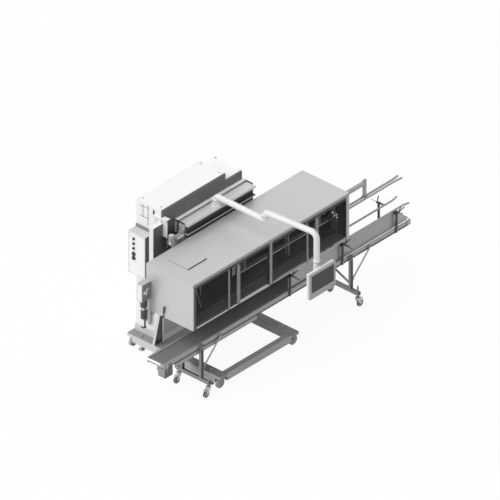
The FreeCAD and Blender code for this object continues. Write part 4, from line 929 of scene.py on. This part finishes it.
def makeButtonDetail(d):
    face, near, far, low, high = d["face"], d["near"], d["far"], d["bottom"], d["top"]
    seams = frameLines("-X", face, near + 10, far - 10, low + 10, high - 10, 1.6)
    finished("buttonBoxSeam", seams, seamMat)
    screws = [buttonScrew(face, y, z, "-X", 4) for y in (near + 20, far - 20) for z in (low + 20, high - 20)]
    finished("buttonBoxScrews", screws, boltMat)
    greyMat = materials["frame_grey_paint"]
    for name, heights, radius, mat in (("buttonRims", d["smallZ"], d["smallRim"], greyMat),
                                       ("stopRims", d["largeZ"], d["largeRim"], darkMat)):
        rims = [roundPiece("rim", face, d["buttonY"], z, radius, 2, "-X", 40, 0.6) for z in heights]
        finished(name, rims, mat)
    lamps = [roundPiece("lamp", face, y, z, radius, depth, "-X", 24, edge)
             for y, z, radius, depth, edge in d["lamps"]]
    finished("boxLamps", lamps, lightMat)
    rail = boxPiece("rail", *d["railX"], near + 3, far - 3, high, high + d["railHeight"], 1.0)
    finished("boxRail", [rail], greyMat)


makeButtonDetail(buttonDetail)


# End drive box: rotary handle, lid seam and screws, housings, bands and clamp of the motors below it

driveDetail = {"front": 642, "rear": 709, "left": -454, "right": hoodDetail["left"], "bottom": 987, "top": 1187,
               "handle": (-414, 1089), "motor": (-387, 679.5), "motorRadius": 34, "motorZ": (898, 984),
               "motorBands": (905, 925, 945, 965), "footRadius": 30, "footZ": (762, 868),
               "footBands": (775, 795, 815, 835, 855), "clampHalf": 20, "clampZ": (650, 668)}


def makeDriveDetail(d):
    x, z = d["handle"]
    face = d["front"]
    handle = [roundPiece("base", x, face, z, 22, 6, "-Y", 40, 1.5),
              roundPiece("hub", x, face - 6, z, 13, 12, "-Y", 32, 2.0),
              boxPiece("bar", x - 5, x + 5, face - 26, face - 18, z - 20, z + 20, 2.0)]
    finished("driveHandle", handle, lightMat)
    seams = frameLines("-X", d["left"], face + 8, d["rear"], d["bottom"] + 8, d["top"] - 8)
    finished("driveSeams", seams, seamMat)
    screws = [buttonScrew(x, face, z, "-Y", 4) for x in (d["left"] + 12, d["right"] - 12)
              for z in (d["bottom"] + 12, d["top"] - 12)]
    finished("driveScrews", screws, boltMat)
    x, y = d["motor"]
    reach = d["clampHalf"]
    fins = [roundPiece("band", x, y, z, d["motorRadius"] + 2, 5, "Z", 48, 1.0) for z in d["motorBands"]]
    fins += [roundPiece("band", x, y, z, d["footRadius"] + 2, 4, "Z", 48, 1.0) for z in d["footBands"]]
    fins.append(boxPiece("clamp", x - reach, x + reach, y - reach, y + reach, *d["clampZ"], 1.5))
    for radius, (low, high) in ((d["motorRadius"], d["motorZ"]), (d["footRadius"], d["footZ"])):
        fins.append(roundPiece("housing", x, y, low, radius + 0.8, high - low, "Z", 48, 1.0))
    finished("driveMotorFins", fins, darkMat)


makeDriveDetail(driveDetail)


# Cheek beside the column: grommets, screws and a dark guard before the column

cheekDetail = {"face": 108, "grommetY": 962, "grommetZ": (1534, 1572), "screwY": (940, 982),
               "screwZ": (1320, 1600), "guardY": (815, 874), "guardZ": (1300, 1416)}


def makeCheekDetail(d):
    face = d["face"]
    rings = [roundPiece("grommet", face, d["grommetY"], z, 13, 5, "-X", 32, 1.5) for z in d["grommetZ"]]
    finished("cheekGrommets", rings, lightMat)
    screws = [buttonScrew(face, y, z, "-X", 4.5) for y in d["screwY"] for z in d["screwZ"]]
    finished("cheekScrews", screws, boltMat)
    guard = boxPiece("guard", face - 3, face, *d["guardY"], *d["guardZ"], 1.0)
    finished("cheekGuard", [guard], blackMat)


makeCheekDetail(cheekDetail)


# Rear tray: white rim cap brightened with painted light, dark grooves, edge lines, a dark strip of painted
# shade on the ledge, dark ends with light plates, bolts and screws

trayDetail = {"left": 315, "right": 1325, "near": 715, "far": 891, "top": 1500, "rimTop": 1514, "rim": 40,
              "ledgeY": (718.5, 720), "ledgeZ": (1389, 1400), "stripY": (721, 756), "stripZ": (1400, 1401.5),
              "recessLow": 1186, "endPlates": ((760, 836, 1330), (864, 888, 1372)),      # near, far, bottom
              "endBolts": ((790, 1470), (860, 1470), (790, 1240), (860, 1240)), "screwY": 838}


def makeTrayDetail(d):
    left, right, near, far, top = d["left"], d["right"], d["near"], d["far"], d["top"]
    rim = far - d["rim"]
    cap = boxPiece("cap", left, right, rim, far, d["rimTop"], d["rimTop"] + 3, 0.8)
    # the rim cap is white, and its full white tone adds painted light against the cabinet's shadow on it
    finished("trayRimCap", [cap], paintMaterial("rimWhiteWithPaintedLight", 1.0))
    grooves = [boxPiece("line", left + 4, right - 4, near + 10, near + 13, top, top + 0.5),
               boxPiece("line", left + 4, right - 4, rim - 12, rim - 5, top - 0.2, top + 0.6)]
    finished("trayGrooves", grooves, seamMat)
    edge = boxPiece("edge", left, right, near - 1.5, near, top - 13, top, 0.4)
    ledge = boxPiece("edge", left, right, *d["ledgeY"], *d["ledgeZ"], 0.4)
    finished("trayEdges", [edge, ledge], lightMat)
    # the dark strip on the ledge is painted shade under the tray's front web
    strip = boxPiece("strip", left + 2, right - 2, *d["stripY"], *d["stripZ"])
    finished("ledgeShadeStrip", [strip], darkMat)
    recess, ends = [], []
    for x0, x1, shift in ((left - 5, left, -3), (right, right + 5, 3)):
        recess.append(boxPiece("end", x0, x1, near + 44, far - 2, d["recessLow"], d["rimTop"] + 2, 0.8))
        for y0, y1, low in d["endPlates"]:
            ends.append(boxPiece("plate", x0 + shift, x1 + shift, y0, y1, low, top - 2, 1.0))
    finished("trayEndRecess", recess, darkMat)
    finished("trayEndPlates", ends, lightMat)
    bolts = [hexBolt(x, y, z, axis, 10) for x, axis in ((left - 5, "-X"), (right + 5, "X"))
             for y, z in d["endBolts"]]
    bolts += [buttonScrew(x, d["screwY"], top, "Z", 4) for x in rows(left + 60, right - 60, 7)]
    finished("trayBolts", bolts, boltMat)


makeTrayDetail(trayDetail)


# Head actuator: round drive on its fork end, with a cap ring, a connecting rod and an eye

headDetail = {"drive": (112, 756), "radius": 36, "low": 1392, "height": 78, "rod": (146, 712, 1432),
              "rodSize": (8, 96), "eye": (66, 736, 1404), "eyeSize": (17, 14)}       # radius, length


def makeHeadDetail(d):
    x, y = d["drive"]
    body = [roundPiece("drive", x, y, d["low"], d["radius"], d["height"], "Z", 48, 3.0),
            roundPiece("flange", x, y, d["low"] - 6, d["radius"] + 7, 8, "Z", 48, 1.5)]
    finished("headDrive", body, materials["stainless_dark"])
    caps = [roundPiece("cap", x, y, d["low"] + d["height"], d["radius"] * 0.7, 7, "Z", 40, 2.0),
            roundPiece("rod", *d["rod"], *d["rodSize"], "X", 24, 1.5),
            roundPiece("eye", *d["eye"], *d["eyeSize"], "-Y", 32, 3.0)]
    finished("headRod", caps, lightMat)


makeHeadDetail(headDetail)
print("tray detail ready")


# Arm: flange bolts, joint rings and clamp screws

armDetail = {"pivot": (800, 778), "middle": (800, 114), "elbow": (850, -533), "trayTop": 1500,
             "flangeBolts": (50, 6), "firstJoint": 1565, "secondJoint": 1660, "jointRadius": 43,
             "drop": 1372, "dropRadius": 36}


def ringBolts(x, y, z, radius, count):
    angles = [2 * math.pi * (i + 0.5) / count for i in range(count)]
    return [hexBolt(x + radius * math.cos(a), y + radius * math.sin(a), z, "Z", 8.0, False) for a in angles]


def clampScrews(x, y, z, reach, size, edge):
    # a screw on either side of a collar
    return [roundPiece("screw", x + reach * sign, y, z, size, size, axis, 6, edge)
            for sign, axis in ((-1, "-X"), (1, "X"))]


def sealRing(name, x, y, z, radius, height, body):
    finished(name, [roundPiece("ring", x, y, z, radius, height, "Z", 64)], seamMat, body)


def makeArmDetail(d):
    pivot, middle, elbow = d["pivot"], d["middle"], d["elbow"]
    first, second, drop, radius = d["firstJoint"], d["secondJoint"], d["drop"], d["jointRadius"]
    reach = radius - 1
    finished("armBaseBolts", ringBolts(*pivot, d["trayTop"] + 10, *d["flangeBolts"]), boltMat)
    sealRing("armBaseSeal", *pivot, first - 1.5, radius + 0.5, 1.5, "machine")
    screws = clampScrews(*pivot, first + 8, reach, 4, 0.6) + clampScrews(*middle, second - 7, reach, 4, 0.6)
    finished("firstArmScrews", screws, boltMat, "first_arm")
    sealRing("firstArmSeal", *middle, second - 1.5, radius + 0.5, 1.5, "first_arm")
    screws = clampScrews(*middle, second + 8, reach, 4, 0.6)
    screws += clampScrews(*elbow, drop + 2, d["dropRadius"], 5, 0.8)
    finished("secondArmScrews", screws, boltMat, "second_arm")
    sealRing("secondArmSeal", *elbow, drop - 8, d["dropRadius"] + 2, 1.8, "second_arm")


makeArmDetail(armDetail)


# Panel: screen seam, bezel band and chin, collar on the stalk, rear cover, screws and keys

# the bezel's front faces carry painted shade through the direction-and-tone pair
bezelMat = paintMaterial("bezelPaint", 0.42, paintedLightByFace=((front, 0.38),))
panelDetail = {"left": 659.5, "right": 1040.5, "front": -617, "back": -571, "bottom": 1030, "top": 1320,
               "seamInset": 23, "bandFront": -617.6, "bandBack": -594, "bandWidth": 5, "chinTop": 1098,
               "stalk": armDetail["elbow"], "collarZ": (1290, 1337), "collarRadius": 33, "rimY": (-596, -592),
               "coverInset": 30, "coverZ": (1052, 1134), "coverDepth": 5, "coverScrewZ": (1062, 1124),
               "bracketInset": 130, "bracketZ": (1160, 1220), "keyX": (1000.5, 978.5), "keyZ": 1060}


def makePanelDetail(d):
    inset = d["seamInset"]
    seams = frameLines("-Y", d["front"], d["left"] + inset, d["right"] - inset, d["chinTop"] + 1,
                       d["top"] - inset, 1.4)
    finished("screenSeam", seams, seamMat, "panel_head")
    left, right, low, high = d["left"] - 1, d["right"] + 1, d["bottom"] - 1, d["top"] + 1
    front, back, wide = d["bandFront"], d["bandBack"], d["bandWidth"]
    band = [boxPiece("band", x0, x1, front, back, z0, z1, 1.5)
            for x0, x1, z0, z1 in ((left, left + wide, low, high), (right - wide, right, low, high),
                                   (left, right, low, low + wide), (left, right, high - wide, high))]
    band.append(boxPiece("chin", left + wide, right - wide, front - 0.4, front + 1.6, low + wide,
                         d["chinTop"], 0.5))
    finished("panelBezel", band, bezelMat, "panel_head")
    x, y = d["stalk"]
    low, high = d["collarZ"]
    radius = d["collarRadius"]
    collar = [roundPiece("collar", x, y, low, radius, high - low, "Z", 64, 1.0),
              roundPiece("foot", x, y, low - 7, radius + 3, 8, "Z", 64, 1.5)]
    finished("panelCollar", collar, nodeMaterials["arm_base"], "panel_head")
    sealRing("panelCollarSeal", x, y, high - 1, radius + 0.8, 2, "panel_head")
    left, right, back = d["left"], d["right"], d["back"]
    inset = d["coverInset"]
    cover = boxPiece("cover", left + inset, right - inset, back, back + d["coverDepth"], *d["coverZ"], 1.5)
    edge = boxPiece("rim", left + 2, right - 2, *d["rimY"], d["top"] - 0.4, d["top"] + 0.6)
    finished("panelRearCover", [cover, edge], lightMat, "panel_head")
    screws = [buttonScrew(x, back + d["coverDepth"], z, "Y", 4)
              for x in (left + inset + 10, right - inset - 10) for z in d["coverScrewZ"]]
    inset = d["bracketInset"]
    screws += [hexBolt(x, back, z, "Y", 8) for x in (left + inset, right - inset) for z in d["bracketZ"]]
    finished("panelScrews", screws, boltMat, "panel_head")
    keys = [roundPiece("key", x, d["front"], d["keyZ"], 6, 3, "-Y", 24, 0.6) for x in d["keyX"]]
    finished("panelKeys", keys, darkMat, "panel_head")


makePanelDetail(panelDetail)
print("arm detail ready")
